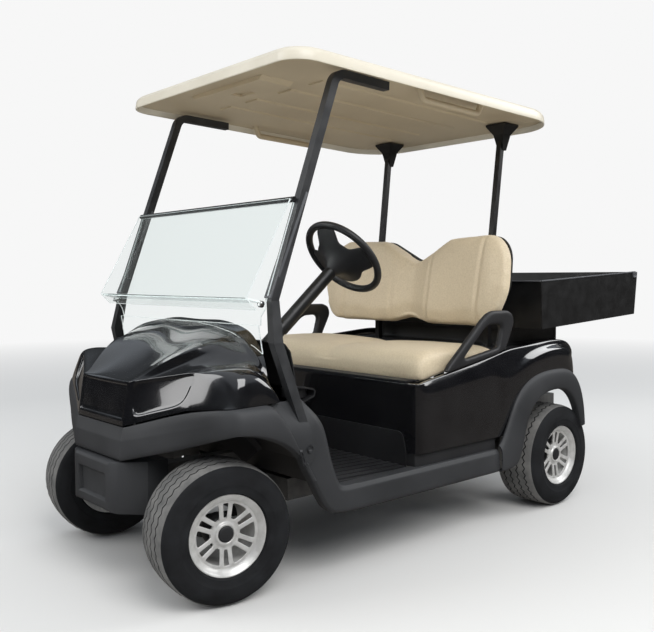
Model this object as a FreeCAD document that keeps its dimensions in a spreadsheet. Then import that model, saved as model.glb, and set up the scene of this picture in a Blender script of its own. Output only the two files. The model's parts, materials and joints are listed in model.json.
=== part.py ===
import FreeCAD, Part
import math
import os

V = FreeCAD.Vector

# Driving sizes, in millimetres and degrees. Lengths run forward (+X) from the wheelbase datum,
# widths are half widths or offsets from the centre plane (+Y is the driver's left), heights run
# from a datum plane just under the ground. The cart is placed so that the origin lies on the
# ground under the middle of its length.
SIZES = (
    # word, value, what it is
    ("datum_shift", 218, "from the wheelbase datum to the middle of the parked cart"),
    ("ground_level", 10, "height of the ground over the datum plane"),
    ("seat_gap", 0.3, "clearance between pieces that rest on each other"),
    ("running_gap", 0.08, "radial clearance of a shaft in its bore"),
    # running gear
    ("wheelbase", 1640, "front axle to rear axle"),
    ("rear_axle_x", -832, "rear axle"),
    ("front_track", 858, "between the front tyres' middles, wheels straight"),
    ("rear_track", 978, "between the rear tyres' middles"),
    ("tyre_radius", 218.5, "outside radius of a tyre under the cart's weight"),
    ("tyre_width", 200, "width of a tyre at its side walls"),
    ("tread_width", 148, "width of a tyre's crown"),
    ("tyre_wall", 11, "thickness of a tyre's carcass"),
    ("rim_lip_radius", 116, "outside radius of a rim's lip"),
    ("rim_seat_radius", 103, "radius of a rim's bead seat"),
    ("rim_wall", 5, "thickness of a rim's barrel"),
    ("rim_width", 180, "width of a rim over its lips"),
    ("rim_face", 54, "outer face of the spokes, from the wheel's middle"),
    ("rim_disc", 11, "thickness of the spokes"),
    ("hub_radius", 39, "outside radius of the hub ring"),
    ("hub_outer", 66, "outer face of the hub ring, from the wheel's middle"),
    ("hub_inner", 14, "inner face of the hub, from the wheel's middle"),
    ("spoke_count", 6, "twin spokes of a rim"),
    ("spindle_radius", 14, "radius of the spindles that carry the wheels"),
    ("steer_angle", -11, "how far the front wheels are turned as it stands parked"),
    ("wheel_offset", 124, "kingpin from the middle of its tyre, across the cart"),
    ("kingpin_radius", 9, "radius of a kingpin"),
    ("knuckle_boss_radius", 17, "radius of a knuckle's upright boss"),
    ("knuckle_height", 78, "height of a knuckle's boss between the yoke's jaws"),
    ("jaw_thick", 18, "thickness of one jaw of the yoke"),
    ("beam_size", 40, "side of the square front axle beam"),
    ("steer_arm", 120, "kingpin to the ball of the steering arm"),
    ("arm_thick", 14, "thickness of a steering arm"),
    ("arm_width", 26, "width of a steering arm"),
    ("ball_radius", 6, "radius of the stud at the end of a steering arm"),
    ("tie_rod_radius", 8, "radius of the tie rod"),
    ("axle_tube_radius", 32, "radius of the rear axle tube"),
    ("drum_radius", 82, "radius of a rear brake drum"),
    ("drum_width", 58, "width of a rear brake drum"),
    ("spring_width", 45, "width of a leaf spring"),
    ("leaf_thick", 7, "thickness of one leaf"),
    ("front_spring_y", 150, "front leaf spring from the centre plane"),
    ("rear_spring_y", 310, "rear leaf spring from the centre plane"),
    # frame and floor
    ("rail_width", 50, "width of a frame rail"),
    ("rail_depth", 78, "depth of a main rail"),
    ("rail_front_x", 480, "front end of the main rails"),
    ("kick_up_x", -440, "rear end of the main rails, where they step up"),
    ("rear_rail_top", 440, "top of the rear rails"),
    ("rear_rail_depth", 60, "depth of the raised rails"),
    ("rear_rail_x", -1160, "rear end of the raised rails"),
    ("front_step_x", 585, "front end of the low rails, where the front rails step up"),
    ("front_rail_bottom", 330, "underside of the front rails over the axle"),
    ("front_rail_x", 1000, "front end of the front rails"),
    ("floor_top_rear", 311, "height of the floor at the seat"),
    ("floor_top_front", 326, "height of the floor at the toe board"),
    ("floor_rear_x", 66, "rear end of the floor"),
    ("floor_front_x", 490, "foot of the toe board"),
    ("toe_top_x", 610, "top of the toe board"),
    ("toe_top_z", 585, "height of the toe board"),
    ("panel_wall", 5, "thickness of a moulded panel"),
    ("mat_thick", 5, "thickness of the floor mat"),
    ("flap_top", 440, "height of the mat's flap against the rear body"),
    # front bodywork
    ("bumper_front_x", 1043, "front face of the lower nose block"),
    ("bumper_recess", 14, "depth of the recess in the lower nose block"),
    ("body_half", 560, "half width of the gloss front shell"),
    ("fender_stand", 28, "how far the grey fenders stand out from the gloss shell"),
    ("rocker_stand", 30, "how far the rocker panels stand out from the gloss shell"),
    ("rocker_width", 60, "width of a rocker panel outside the floor"),
    ("rocker_front_x", 540, "front end of a rocker panel"),
    ("rocker_rear_x", -388, "rear end of a rocker panel"),
    ("rocker_bottom", 228, "underside of a rocker panel"),
    ("rocker_top", 320, "top of a rocker panel"),
    ("arch_radius", 324, "radius of a front wheel arch"),
    ("arch_ahead", 43, "middle of a front wheel arch ahead of the axle"),
    ("arch_drop", 16, "middle of a front wheel arch below the axle"),
    # rear bodywork
    ("tub_front_x", 75, "front wall of the rear body"),
    ("tub_front_z", 620, "height of the rear body's front wall"),
    ("tub_rear_x", -982, "rear wall of the rear body"),
    ("tub_bottom", 366, "lower edge of the rear body"),
    ("tub_stand", 15, "how far the rear body stands out from the front shell"),
    ("tub_arch_radius", 330, "radius of the wheel cut in the rear body"),
    ("haunch_stand", 12, "how far the haunch over a rear wheel stands out from the rear body"),
    ("flare_stand", 27, "how far a rear flare stands out from the rear body"),
    # seats
    ("cushion_inset", 40, "side of the seat cushion from the side of the gloss shell"),
    ("seat_hinge_x", -482, "hinge line of the seat bottom"),
    ("seat_hinge_z", 688, "height of the seat bottom's hinge line"),
    ("seat_barrel_half", 120, "half length of the seat bottom's hinge barrel"),
    ("seat_barrel_radius", 7, "outside radius of the seat bottom's hinge barrel"),
    ("seat_pin_radius", 3, "radius of the seat bottom's hinge pin"),
    ("seat_pan_wall", 6, "thickness of the seat pan"),
    ("back_lean", 10, "lean of the seat back"),
    ("back_foot_x", -485, "front of the seat back at its lower edge"),
    ("back_foot_z", 792, "height of the seat back's lower edge"),
    ("back_thick", 68, "thickness of the seat back cushion"),
    ("back_curve", 3240, "radius by which the seat back's wings come forward"),
    ("restraint_width", 30, "width of a hip restraint's moulding"),
    ("restraint_edge", 7, "bevel along a hip restraint's edges"),
    # top
    ("strut_width", 29, "side of the square front struts"),
    ("strut_top_x", 392, "front struts' upper bend"),
    ("strut_top_z", 1676, "height of the front struts' upper bend"),
    ("strut_half", 492, "front struts from the centre plane at the top"),
    ("strut_kink_x", 666, "front struts' bend at the cowl"),
    ("strut_kink_z", 926, "height of the front struts' bend at the cowl"),
    ("strut_tail_x", 150, "rear end of the struts' run under the roof"),
    ("post_width", 24, "side of the square rear posts"),
    ("post_y", 334, "rear posts from the centre plane"),
    ("post_foot_x", -640, "rear posts behind the seat"),
    ("post_top_x", -726, "rear posts at the roof"),
    ("roof_rear_x", -850, "rear edge of the roof"),
    ("roof_front_x", 605, "front edge of the roof"),
    ("roof_half_rear", 575, "half width of the roof at the rear"),
    ("roof_half_front", 547, "half width of the roof at the front"),
    ("roof_lip_z", 1635, "height of the roof's lower edge at the rear"),
    ("roof_pitch", 2, "angle by which the roof rises forward"),
    ("roof_front_corner", 95, "radius of the roof's front corners"),
    ("roof_rear_corner", 210, "radius of the roof's rear corners"),
    ("roof_wall", 4, "thickness of the roof's skins"),
    ("liner_height", 24, "roof liner above the roof's lower edge"),
    ("glass_thick", 5, "thickness of the windscreen"),
    ("glass_half", 490, "half width of the windscreen"),
    ("fold_z", 1251, "height of the windscreen's fold"),
    ("hinge_radius", 9, "radius of the windscreen's hinge bar"),
    # steering wheel
    ("wheel_x", 151, "middle of the steering wheel"),
    ("wheel_y", 265, "steering wheel from the centre plane"),
    ("wheel_z", 1075, "height of the steering wheel's middle"),
    ("wheel_radius", 155, "radius of the steering wheel's rim at the middle of its grip"),
    ("grip_radius", 14, "radius of the steering wheel's grip"),
    ("column_angle", 40.3, "rise of the steering column"),
    ("column_radius", 24, "radius of the steering column"),
    # cargo box
    ("box_front_x", -716, "front wall of the cargo box"),
    ("box_length", 800, "length of the cargo box at its rim"),
    ("box_half", 560, "half width of the cargo box"),
    ("box_height", 202, "depth of the cargo box"),
    ("box_floor_z", 778, "height of the cargo box's floor at its front"),
    ("box_tilt", 2.8, "angle by which the cargo box rises to the rear"),
    ("box_wall", 3, "thickness of the cargo box's walls"),
    ("gate_lean", 10, "lean of the tailgate"),
    ("gate_hinge_y", 360, "each tailgate hinge from the centre plane"),
    ("gate_barrel_half", 55, "half length of a tailgate hinge's barrel"),
    ("gate_barrel_radius", 6, "outside radius of a tailgate hinge's barrel"),
    ("gate_pin_radius", 3, "radius of a tailgate hinge's pin"),
)

doc = FreeCAD.newDocument("golf_cart")
sheet = doc.addObject("Spreadsheet::Sheet", "Sizes")
for row, (word, value, meaning) in enumerate(SIZES, start=1):
    sheet.set("A%d" % row, word)
    sheet.set("B%d" % row, str(value))
    sheet.set("C%d" % row, meaning)
    sheet.setAlias("B%d" % row, word)
doc.recompute()


def size(word):
    """The value of one driving size."""
    return float(sheet.get(word))


kingpin_y = size("front_track") / 2 - size("wheel_offset")
cushion_half = size("body_half") - size("cushion_inset")

sub_parts = []


def keep(obj, label):
    """Name a finished object as a sub-part and set it about the cart's own origin."""
    obj.Label = label
    obj.setExpression("Placement.Base.x", "Sizes.datum_shift")
    obj.setExpression("Placement.Base.z", "-Sizes.ground_level")
    sub_parts.append(obj)
    return obj


def solid(label, shape):
    """A sub-part whose form is built below from the driving sizes."""
    made = doc.addObject("Part::Feature", label)
    made.Shape = shape
    return keep(made, label)


# Outlines


def corner(before, point, after, radius):
    """Start, middle and end of the arc that rounds one corner of a path."""
    back = (before - point).normalize()
    ahead = (after - point).normalize()
    half = back.getAngle(ahead) / 2
    reach = radius / math.tan(half)
    inward = (back + ahead).normalize()
    middle = point + inward * (radius / math.sin(half) - radius)
    return point + back * reach, middle, point + ahead * reach


def path(points, radii, closed=False):
    """A wire of straight runs whose corners are rounded by tangent arcs."""
    count = len(points)
    edges = []
    here = None
    first = None
    for i, point in enumerate(points):
        inside = closed or 0 < i < count - 1
        if inside and radii[i] > 0:
            start, middle, end = corner(points[i - 1], point, points[(i + 1) % count], radii[i])
        else:
            start, middle, end = point, None, point
        if here is None:
            first = start
        elif here.distanceToPoint(start) > 1e-6:
            edges.append(Part.LineSegment(here, start).toShape())
        if middle is not None:
            edges.append(Part.Arc(start, middle, end).toShape())
        here = end
    if closed and here.distanceToPoint(first) > 1e-6:
        edges.append(Part.LineSegment(here, first).toShape())
    return Part.Wire(edges)


def plate(corners, plane, low, high):
    """A flat piece: corners are (a, b) or (a, b, radius) in the named plane, from low to high."""
    spread = {
        "XZ": lambda a, b: V(a, low, b),
        "YZ": lambda a, b: V(low, a, b),
        "XY": lambda a, b: V(a, b, low),
    }[plane]
    along = {"XZ": V(0, 1, 0), "YZ": V(1, 0, 0), "XY": V(0, 0, 1)}[plane]
    points = [spread(c[0], c[1]) for c in corners]
    radii = [c[2] if len(c) > 2 else 0 for c in corners]
    return Part.Face(path(points, radii, True)).extrude(along * (high - low))


def block(x_low, x_high, y_low, y_high, z_low, z_high):
    """A square-edged block between two corners."""
    return Part.makeBox(x_high - x_low, y_high - y_low, z_high - z_low, V(x_low, y_low, z_low))


def rod(start, end, radius):
    """A round bar between two points."""
    return Part.makeCylinder(radius, (end - start).Length, start, end - start)


def mirrored(shape):
    """The same piece on the other side of the centre plane."""
    return shape.mirror(V(0, 0, 0), V(0, 1, 0))


def pair(shape):
    """A piece and its mirror image."""
    return Part.makeCompound([shape, mirrored(shape)])


def thick_line(points, wall):
    """A closed outline around an open line: the line, and its parallel on the left-hand side."""
    sides = []
    for i, (a, b) in enumerate(points):
        before = points[i - 1] if i else None
        after = points[i + 1] if i + 1 < len(points) else None
        normals = []
        for p, q in ((before, (a, b)), ((a, b), after)):
            if p is not None and q is not None:
                run = math.hypot(q[0] - p[0], q[1] - p[1])
                normals.append((-(q[1] - p[1]) / run, (q[0] - p[0]) / run))
        mean = (sum(n[0] for n in normals), sum(n[1] for n in normals))
        scale = math.hypot(*mean)
        unit = (mean[0] / scale, mean[1] / scale)
        grow = wall / (unit[0] * normals[0][0] + unit[1] * normals[0][1])
        sides.append((a + unit[0] * grow, b + unit[1] * grow))
    return list(points) + sides[::-1]


def square_tube(points, radius, width):
    """A square tube along a path with rounded bends."""
    spine = path(points, [radius] * len(points))
    ahead = (points[1] - points[0]).normalize()
    across = V(0, 1, 0).cross(ahead).normalize()
    side = ahead.cross(across).normalize()
    half = width / 2
    ring = [
        points[0] + across * (half * a) + side * (half * b)
        for a, b in ((1, 1), (-1, 1), (-1, -1), (1, -1))
    ]
    section = Part.makePolygon(ring + [ring[0]])
    return spine.makePipeShell([section], True, False)


def round_tube(points, radius, tube_radius, closed=False):
    """A round tube along a path with rounded bends."""
    spine = path(points, [radius] * len(points), closed)
    start = spine.Edges[0].valueAt(spine.Edges[0].FirstParameter)
    ahead = spine.Edges[0].tangentAt(spine.Edges[0].FirstParameter)
    section = Part.Wire([Part.makeCircle(tube_radius, start, ahead)])
    return spine.makePipeShell([section], True, False)


def moved(shape, offset, axis=V(0, 0, 1), angle=0, pivot=V(0, 0, 0)):
    """A shape turned about a pivot and then shifted."""
    pose = FreeCAD.Placement(offset, FreeCAD.Rotation(V(0, 0, 1), 0))
    turn = FreeCAD.Placement(V(0, 0, 0), FreeCAD.Rotation(axis, angle), pivot)
    return shape.transformed(pose.multiply(turn).toMatrix(), True)


def turned_about_kingpin(shape, side):
    """A front wheel's piece, turned as the wheels stand parked."""
    pivot = V(front_axle_x, side * kingpin_y, 0)
    return moved(shape, V(0, 0, 0), V(0, 0, 1), size("steer_angle"), pivot)


gap = size("seat_gap")
wall = size("panel_wall")
rail_top = size("floor_top_rear") - wall - gap
strut_rake = (size("strut_kink_x") - size("strut_top_x")) / (size("strut_top_z") - size("strut_kink_z"))
bumper_back = size("bumper_front_x") - size("bumper_recess") - wall
front_axle_x = size("rear_axle_x") + size("wheelbase")
axle_z = size("ground_level") + size("tyre_radius")
fender_half = size("body_half") + size("fender_stand")
rocker_half = size("body_half") + size("rocker_stand")
floor_half = rocker_half - size("rocker_width")
tub_half = size("body_half") + size("tub_stand")
flare_half = tub_half + size("flare_stand")
beyond = 2 * rocker_half
SIDES = (("left", 1), ("right", -1))

# Tyres: the carcass is revolved about the axle, its middle on the wheel's own middle plane


def sketch_on(body, role, name, wire):
    """A sketch of straight and round edges on one of the body's own planes."""
    made = body.newObject("Sketcher::SketchObject", name)
    plane = [f for f in body.Origin.OriginFeatures if f.Role == role][0]
    made.AttachmentSupport = [(plane, "")]
    made.MapMode = "FlatFace"
    for edge in wire.Edges:
        made.addGeometry(edge_geometry(edge), False)
    return made


def edge_geometry(edge):
    """The line or arc of an edge, as a sketch takes it."""
    first = edge.valueAt(edge.FirstParameter)
    last = edge.valueAt(edge.LastParameter)
    if isinstance(edge.Curve, Part.Circle):
        middle = edge.valueAt((edge.FirstParameter + edge.LastParameter) / 2)
        return Part.Arc(first, middle, last)
    return Part.LineSegment(first, last)


def flat_wire(corners):
    """A closed outline in a sketch's own plane; corners are (a, b) or (a, b, radius)."""
    points = [V(c[0], c[1], 0) for c in corners]
    radii = [c[2] if len(c) > 2 else 0 for c in corners]
    return path(points, radii, True)


def tyre_section():
    """Carcass outline as (across the tyre, radius): bead, side wall, shoulder and crown of each side."""
    half = size("tyre_width") / 2
    tread = size("tread_width") / 2
    crown = size("tyre_radius")
    bead = size("rim_seat_radius") + gap
    seat = size("rim_width") / 2 - size("rim_wall") - gap
    carcass = size("tyre_wall")
    middle = (bead + crown) / 2
    outer = [(seat, bead), (seat, bead + 14), (half, middle - 12), (half - 1, middle + 20),
             (half - 11, crown - 13), (tread, crown - 2)]
    inner = [(tread, crown - carcass - 2), (seat - carcass, bead)]
    return outer + [(-a, b) for a, b in reversed(outer)] + [(-a, b) for a, b in reversed(inner)] + inner


def wheel_centre(end, side):
    """The middle of a wheel, wheels straight."""
    if end == "front":
        return V(front_axle_x, side * size("front_track") / 2, axle_z)
    return V(size("rear_axle_x"), side * size("rear_track") / 2, axle_z)


def wheel_pose(end, side):
    """Where a wheel modelled about the origin, its outer face to +Y, goes on the cart."""
    pose = FreeCAD.Placement(wheel_centre(end, side), FreeCAD.Rotation(V(0, 0, 1), 0 if side > 0 else 180))
    if end == "front":
        pivot = V(front_axle_x, side * kingpin_y, 0)
        turn = FreeCAD.Rotation(V(0, 0, 1), size("steer_angle"))
        pose = FreeCAD.Placement(V(0, 0, 0), turn, pivot).multiply(pose)
    pose.Base += V(size("datum_shift"), 0, -size("ground_level"))
    return pose


def revolved(label, corners):
    """A body revolved about its Y axis from an outline of (across, radius)."""
    body = doc.addObject("PartDesign::Body", label)
    sketch = sketch_on(body, "YZ_Plane", label + "_section", flat_wire(corners))
    turn = body.newObject("PartDesign::Revolution", label + "_turned")
    turn.Profile = sketch
    turn.ReferenceAxis = (sketch, ["H_Axis"])
    turn.Angle = 360
    return body


def rim_section():
    """Barrel, twin-spoke disc and hub of a rim as (across the rim, radius)."""
    half = size("rim_width") / 2
    lip = size("rim_lip_radius")
    seat = size("rim_seat_radius")
    thick = size("rim_wall")
    face = size("rim_face")
    back = face - size("rim_disc")
    inner = seat - thick
    hub = size("hub_radius")
    hub_face = size("hub_outer")
    bore = size("spindle_radius") + size("running_gap")
    cap = hub_face - 8
    return [
        (-half, inner), (-half, lip), (-half + thick, lip), (-half + thick, seat),
        (half - thick, seat), (half - thick, lip), (half, lip - 1), (half, inner + 4),
        (face + 14, inner), (face, inner - 9), (face + 6, hub + 6), (hub_face, hub), (hub_face, hub - 9),
        (cap, hub - 12), (cap, 0), (cap - 6, 0), (cap - 6, bore), (size("hub_inner"), bore),
        (size("hub_inner"), hub - 8), (back + 6, hub), (back, inner - 9), (back - 4, inner),
    ]


def window_cut(body, name, corners):
    """A window through the disc, repeated for each twin spoke."""
    sketch = sketch_on(body, "XZ_Plane", name + "_outline", flat_wire(corners))
    cut = body.newObject("PartDesign::Pocket", name)
    cut.Profile = sketch
    cut.SideType = "Symmetric"
    cut.Length = size("rim_width") - 2
    repeat = body.newObject("PartDesign::PolarPattern", name + "_repeat")
    repeat.Originals = [cut]
    repeat.Axis = ([f for f in body.Origin.OriginFeatures if f.Role == "Y_Axis"][0], [""])
    repeat.Angle = 360
    repeat.setExpression("Occurrences", "Sizes.spoke_count")
    body.Tip = repeat
    return cut


def sector(inner, outer, half_inner, half_outer, radius, angle):
    """A rounded window whose middle line points outwards at an angle."""
    turn = FreeCAD.Rotation(V(0, 0, 1), angle)
    corners = []
    for along, across in ((inner, -half_inner), (outer, -half_outer), (outer, half_outer), (inner, half_inner)):
        spot = turn.multVec(V(along, across, 0))
        corners.append((spot.x, spot.y, radius))
    return corners


for end in ("front", "rear"):
    for hand, side in SIDES:
        tyre = revolved("tyre_%s_%s" % (end, hand), tyre_section())
        tyre.Placement = wheel_pose(end, side)
        tyre.Label = "tyre_%s_%s" % (end, hand)
        sub_parts.append(tyre)
        rim = revolved("rim_%s_%s" % (end, hand), rim_section())
        doc.recompute()
        reach = size("rim_seat_radius") - size("rim_wall") - 4
        start = size("hub_radius") + 9
        pitch = 360 / size("spoke_count")
        window_cut(rim, "window_" + end + hand, sector(start + 6, reach, 8, 28, 5, 90))
        window_cut(rim, "slot_" + end + hand, sector(start + 4, reach - 5, 2.5, 5, 0, 90 + pitch / 2))
        rim.Placement = wheel_pose(end, side)
        rim.Label = "rim_%s_%s" % (end, hand)
        sub_parts.append(rim)

# Front axle, knuckles and tie rod

jaw_low = axle_z - size("knuckle_height") / 2
jaw_high = axle_z + size("knuckle_height") / 2
pin_hole = size("kingpin_radius") + size("running_gap")


def front_axle():
    """Square beam with a forked yoke at each end that holds the kingpin."""
    half = size("beam_size") / 2
    pin_y = kingpin_y
    root_y = pin_y - size("knuckle_boss_radius") - 34
    jaw = size("jaw_thick")
    beam = block(front_axle_x - half, front_axle_x + half, -root_y, root_y, axle_z - half, axle_z + half)
    pieces = []
    for side in (1, -1):
        back = plate(
            [(front_axle_x - half, side * (root_y - 1)), (front_axle_x + half, side * (root_y - 1)),
             (front_axle_x + half, side * (root_y + 16)), (front_axle_x - half, side * (root_y + 16))],
            "XY", jaw_low - gap - jaw, jaw_high + gap + jaw)
        pieces.append(back)
        for low in (jaw_low - gap - jaw, jaw_high + gap):
            arm = plate(
                [(front_axle_x - half, side * root_y), (front_axle_x + half, side * root_y),
                 (front_axle_x + half, side * (pin_y + 18), 16), (front_axle_x - half, side * (pin_y + 18), 16)],
                "XY", low, low + jaw)
            hole = Part.makeCylinder(pin_hole, jaw + 2, V(front_axle_x, side * pin_y, low - 1))
            pieces.append(arm.cut(hole))
    return beam.multiFuse(pieces).removeSplitter()


solid("front_axle", front_axle())

arm_low = axle_z - size("arm_thick") / 2
ball_x = front_axle_x - size("steer_arm")
rod_z = arm_low + size("arm_thick") + gap


def knuckle(side):
    """Upright boss on its kingpin, with the wheel's spindle and the steering arm."""
    pin_y = side * kingpin_y
    pin = V(front_axle_x, pin_y, 0)
    reach = size("jaw_thick") - 2
    boss = Part.makeCylinder(size("knuckle_boss_radius"), size("knuckle_height"), pin + V(0, 0, jaw_low))
    shaft = Part.makeCylinder(size("kingpin_radius"), size("knuckle_height") + 2 * (gap + reach),
                              pin + V(0, 0, jaw_low - gap - reach))
    hub_y = side * (size("front_track") / 2 + size("hub_inner") - gap)
    tip_y = side * (size("front_track") / 2 + size("hub_outer") - 16)
    axle_point = V(front_axle_x, pin_y, axle_z)
    shoulder = rod(axle_point, V(front_axle_x, hub_y, axle_z), size("spindle_radius") + 5)
    spindle = rod(axle_point, V(front_axle_x, tip_y, axle_z), size("spindle_radius"))
    half = size("arm_width") / 2
    arm = plate([(front_axle_x, pin_y - half), (ball_x - half, pin_y - half, half - 1),
                 (ball_x - half, pin_y + half, half - 1), (front_axle_x, pin_y + half)],
                "XY", arm_low, arm_low + size("arm_thick"))
    stud = Part.makeCylinder(size("ball_radius"), size("arm_thick") + 22, V(ball_x, pin_y, arm_low))
    made = boss.multiFuse([shaft, shoulder, spindle, arm, stud]).removeSplitter()
    return turned_about_kingpin(made, side)


for hand, side in SIDES:
    solid("knuckle_" + hand, knuckle(side))


def ball_point(side):
    """The middle of a steering arm's stud as the cart stands parked."""
    turn = FreeCAD.Rotation(V(0, 0, 1), size("steer_angle"))
    offset = turn.multVec(V(-size("steer_arm"), 0, 0))
    return V(front_axle_x, side * kingpin_y, 0) + offset


def tie_rod():
    """Straight rod between the two steering arms, an eye at each end over the arm's stud."""
    eye = size("ball_radius") + 9
    height = 2 * size("tie_rod_radius") + 2
    pieces = []
    holes = []
    for side in (1, -1):
        spot = ball_point(side) + V(0, 0, rod_z)
        pieces.append(Part.makeCylinder(eye, height, spot))
        holes.append(Part.makeCylinder(size("ball_radius") + size("running_gap"), height + 2, spot - V(0, 0, 1)))
    level = V(0, 0, rod_z + height / 2)
    bar = rod(ball_point(-1) + level, ball_point(1) + level, size("tie_rod_radius"))
    return bar.multiFuse(pieces).cut(Part.makeCompound(holes)).removeSplitter()


solid("tie_rod", tie_rod())

# Leaf springs: each leaf is a flat strip a little shorter than the one above


def leaf_spring(x_mid, y_mid, z_low, lengths):
    """A stack of leaves, longest on top, with a rolled eye at each end."""
    half = size("spring_width") / 2
    thick = size("leaf_thick")
    pieces = []
    for i, length in enumerate(lengths):
        low = z_low + i * thick
        pieces.append(block(x_mid - length / 2, x_mid + length / 2, y_mid - half, y_mid + half, low, low + thick))
    top = z_low + len(lengths) * thick
    for end in (-1, 1):
        at = V(x_mid + end * lengths[-1] / 2, y_mid - half, top + 4)
        pieces.append(Part.makeCylinder(12, 2 * half, at, V(0, 1, 0)))
    return pieces[0].multiFuse(pieces[1:]).removeSplitter()


spring_rest = axle_z + size("beam_size") / 2
solid("front_springs", pair(leaf_spring(front_axle_x, size("front_spring_y"), spring_rest, (160, 250, 340))))

# Rear axle with its gear case, brake drums and spindles


def rear_axle():
    """Axle tube, gear and motor case, brake drums, and the spindles for the wheels."""
    x = size("rear_axle_x")
    half = size("rear_track") / 2
    drum_out = half + size("hub_inner") - 4
    tip = half + size("hub_outer") - 16
    tube = rod(V(x, -drum_out, axle_z), V(x, drum_out, axle_z), size("axle_tube_radius"))
    pieces = [rod(V(x, -tip, axle_z), V(x, tip, axle_z), size("spindle_radius"))]
    case = rod(V(x, -40, axle_z + 8), V(x, 90, axle_z + 8), 105)
    motor = rod(V(x + 20, 90, axle_z + 40), V(x + 20, 250, axle_z + 40), 82)
    pieces += [case, motor]
    for side in (1, -1):
        pieces.append(rod(V(x, side * (drum_out - size("drum_width")), axle_z), V(x, side * drum_out, axle_z),
                          size("drum_radius")))
        pieces.append(block(x - 35, x + 35, side * size("rear_spring_y") - 27, side * size("rear_spring_y") + 27,
                            axle_z, axle_z + size("axle_tube_radius") + 6))
    return tube.multiFuse(pieces).removeSplitter()


solid("rear_axle", rear_axle())
rear_spring_rest = axle_z + size("axle_tube_radius") + 6
solid("rear_springs", pair(leaf_spring(size("rear_axle_x"), size("rear_spring_y"), rear_spring_rest, (260, 430, 600))))

# Frame: two main rails that step up over the rear axle, front rails over the front axle


def frame():
    """Rails and crossmembers, with hangers for the springs' eyes."""
    half = size("rail_width") / 2
    low = rail_top - size("rail_depth")
    top = rail_top
    rear_top = size("rear_rail_top")
    rear_low = rear_top - size("rear_rail_depth")
    front_low = size("front_rail_bottom")
    front_top = front_low + size("rear_rail_depth")
    kick = size("kick_up_x")
    front = size("rail_front_x")
    step = size("front_step_x")
    rail_y = size("rear_spring_y")
    nose_y = size("front_spring_y")
    pieces = [block(size("front_rail_x") - 10, bumper_back - gap, -60, 60, front_low, front_low + 40)]
    for side in (1, -1):
        for y, x_low, x_high, z_low, z_high in (
            # side rail, step, raised rail, front foot, front step, front rail
            (rail_y, kick, front, low, top),
            (rail_y, kick, kick + 40, low, rear_top),
            (rail_y, size("rear_rail_x"), kick + 40, rear_low, rear_top),
            (nose_y, front - 140, step, low, top),
            (nose_y, step - 40, step, low, front_top),
            (nose_y, step - 40, size("front_rail_x"), front_low, front_top),
        ):
            pieces.append(block(x_low, x_high, side * y - half, side * y + half, z_low, z_high))
    for x_low, x_high, y, z_low, z_high in (
        # rear, step, front and nose crossmembers
        (size("rear_rail_x"), size("rear_rail_x") + 40, rail_y, rear_low, rear_top),
        (kick, kick + 40, rail_y, low, top),
        (front - 180, front - 140, rail_y, low, top),
        (front - 40, front, rail_y, low, top),
        (size("front_rail_x") - 40, size("front_rail_x"), nose_y, front_low, front_top),
    ):
        pieces.append(block(x_low, x_high, -y, y, z_low, z_high))
    thick = size("leaf_thick")
    for x, y, eye_z, reach, base in (
        # front spring eyes, rear spring eyes
        (front_axle_x, nose_y, spring_rest + 3 * thick + 4, 170, front_low),
        (size("rear_axle_x"), rail_y, rear_spring_rest + 3 * thick + 4, 300, rear_low),
    ):
        for end in (-1, 1):
            for side in (1, -1):
                at = x + end * reach
                hanger_y = side * y
                pieces.append(block(at - 18, at + 18, hanger_y - half + 2, hanger_y + half - 2,
                                    eye_z + 12 + gap, base + 1))
    return pieces[0].multiFuse(pieces[1:]).removeSplitter()


solid("frame", frame())

# Floor and toe board, bent from one sheet, with a ribbed mat on top

floor_line = [
    (size("floor_rear_x"), size("floor_top_rear")),
    (size("floor_front_x"), size("floor_top_front")),
    (size("toe_top_x"), size("toe_top_z")),
]
floor_under = thick_line(floor_line[::-1], wall)
half = floor_half
toe_outline = [(-half, 290), (half, 290), (half, 500), (half - 28, 550), (half - 28, 610), (28 - half, 610),
               (28 - half, 550), (-half, 500)]
solid("floor_pan", plate(floor_under, "XZ", -half, half).common(plate(toe_outline, "YZ", 0, 700)))


def floor_mat():
    """Mat over the floor with long ribs."""
    thick = size("mat_thick")
    inset = 12
    rise = (size("floor_top_front") - size("floor_top_rear")) / (size("floor_front_x") - size("floor_rear_x"))
    start = size("floor_rear_x") + inset
    stop = size("floor_front_x") - inset

    def level(x):
        return size("floor_top_rear") + (x - size("floor_rear_x")) * rise + gap

    def strip(y_low, y_high, low, high):
        corners = [(start, level(start) + low), (stop, level(stop) + low), (stop, level(stop) + high),
                   (start, level(start) + high)]
        return plate(corners, "XZ", y_low, y_high)

    half = floor_half - inset
    base = strip(-half, half, 0, thick)
    ribs = []
    count = 24
    step = 2 * (half - 20) / count
    for i in range(count):
        y = -half + 20 + (i + 0.5) * step
        ribs.append(strip(y - step / 4, y + step / 4, thick - 0.5, thick + 2.5))
    # the flap stands against the rear body's front wall, its upper corners rounded
    face = size("tub_front_x") + gap
    low = level(start)
    top = size("flap_top")
    flap = plate([(-half, low), (-half, low + 60), (18 - half, top, 30), (half - 18, top, 30), (half, low + 60),
                  (half, low)], "YZ", face, face + thick - 1)
    return base.multiFuse(ribs + [flap]).removeSplitter()


solid("floor_mat", floor_mat())

# Front bodywork, lofted across the cart through side sections


def side_sections(stations, thickness):
    """Loft between thin sections, one in each side plane, and its mirror image."""
    rings = []
    for y, line in stations:
        outline = thick_line(line, thickness)
        ring = [V(a, y, b) for a, b in outline]
        rings.append(Part.makePolygon(ring + [ring[0]]))
    return rings


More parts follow.
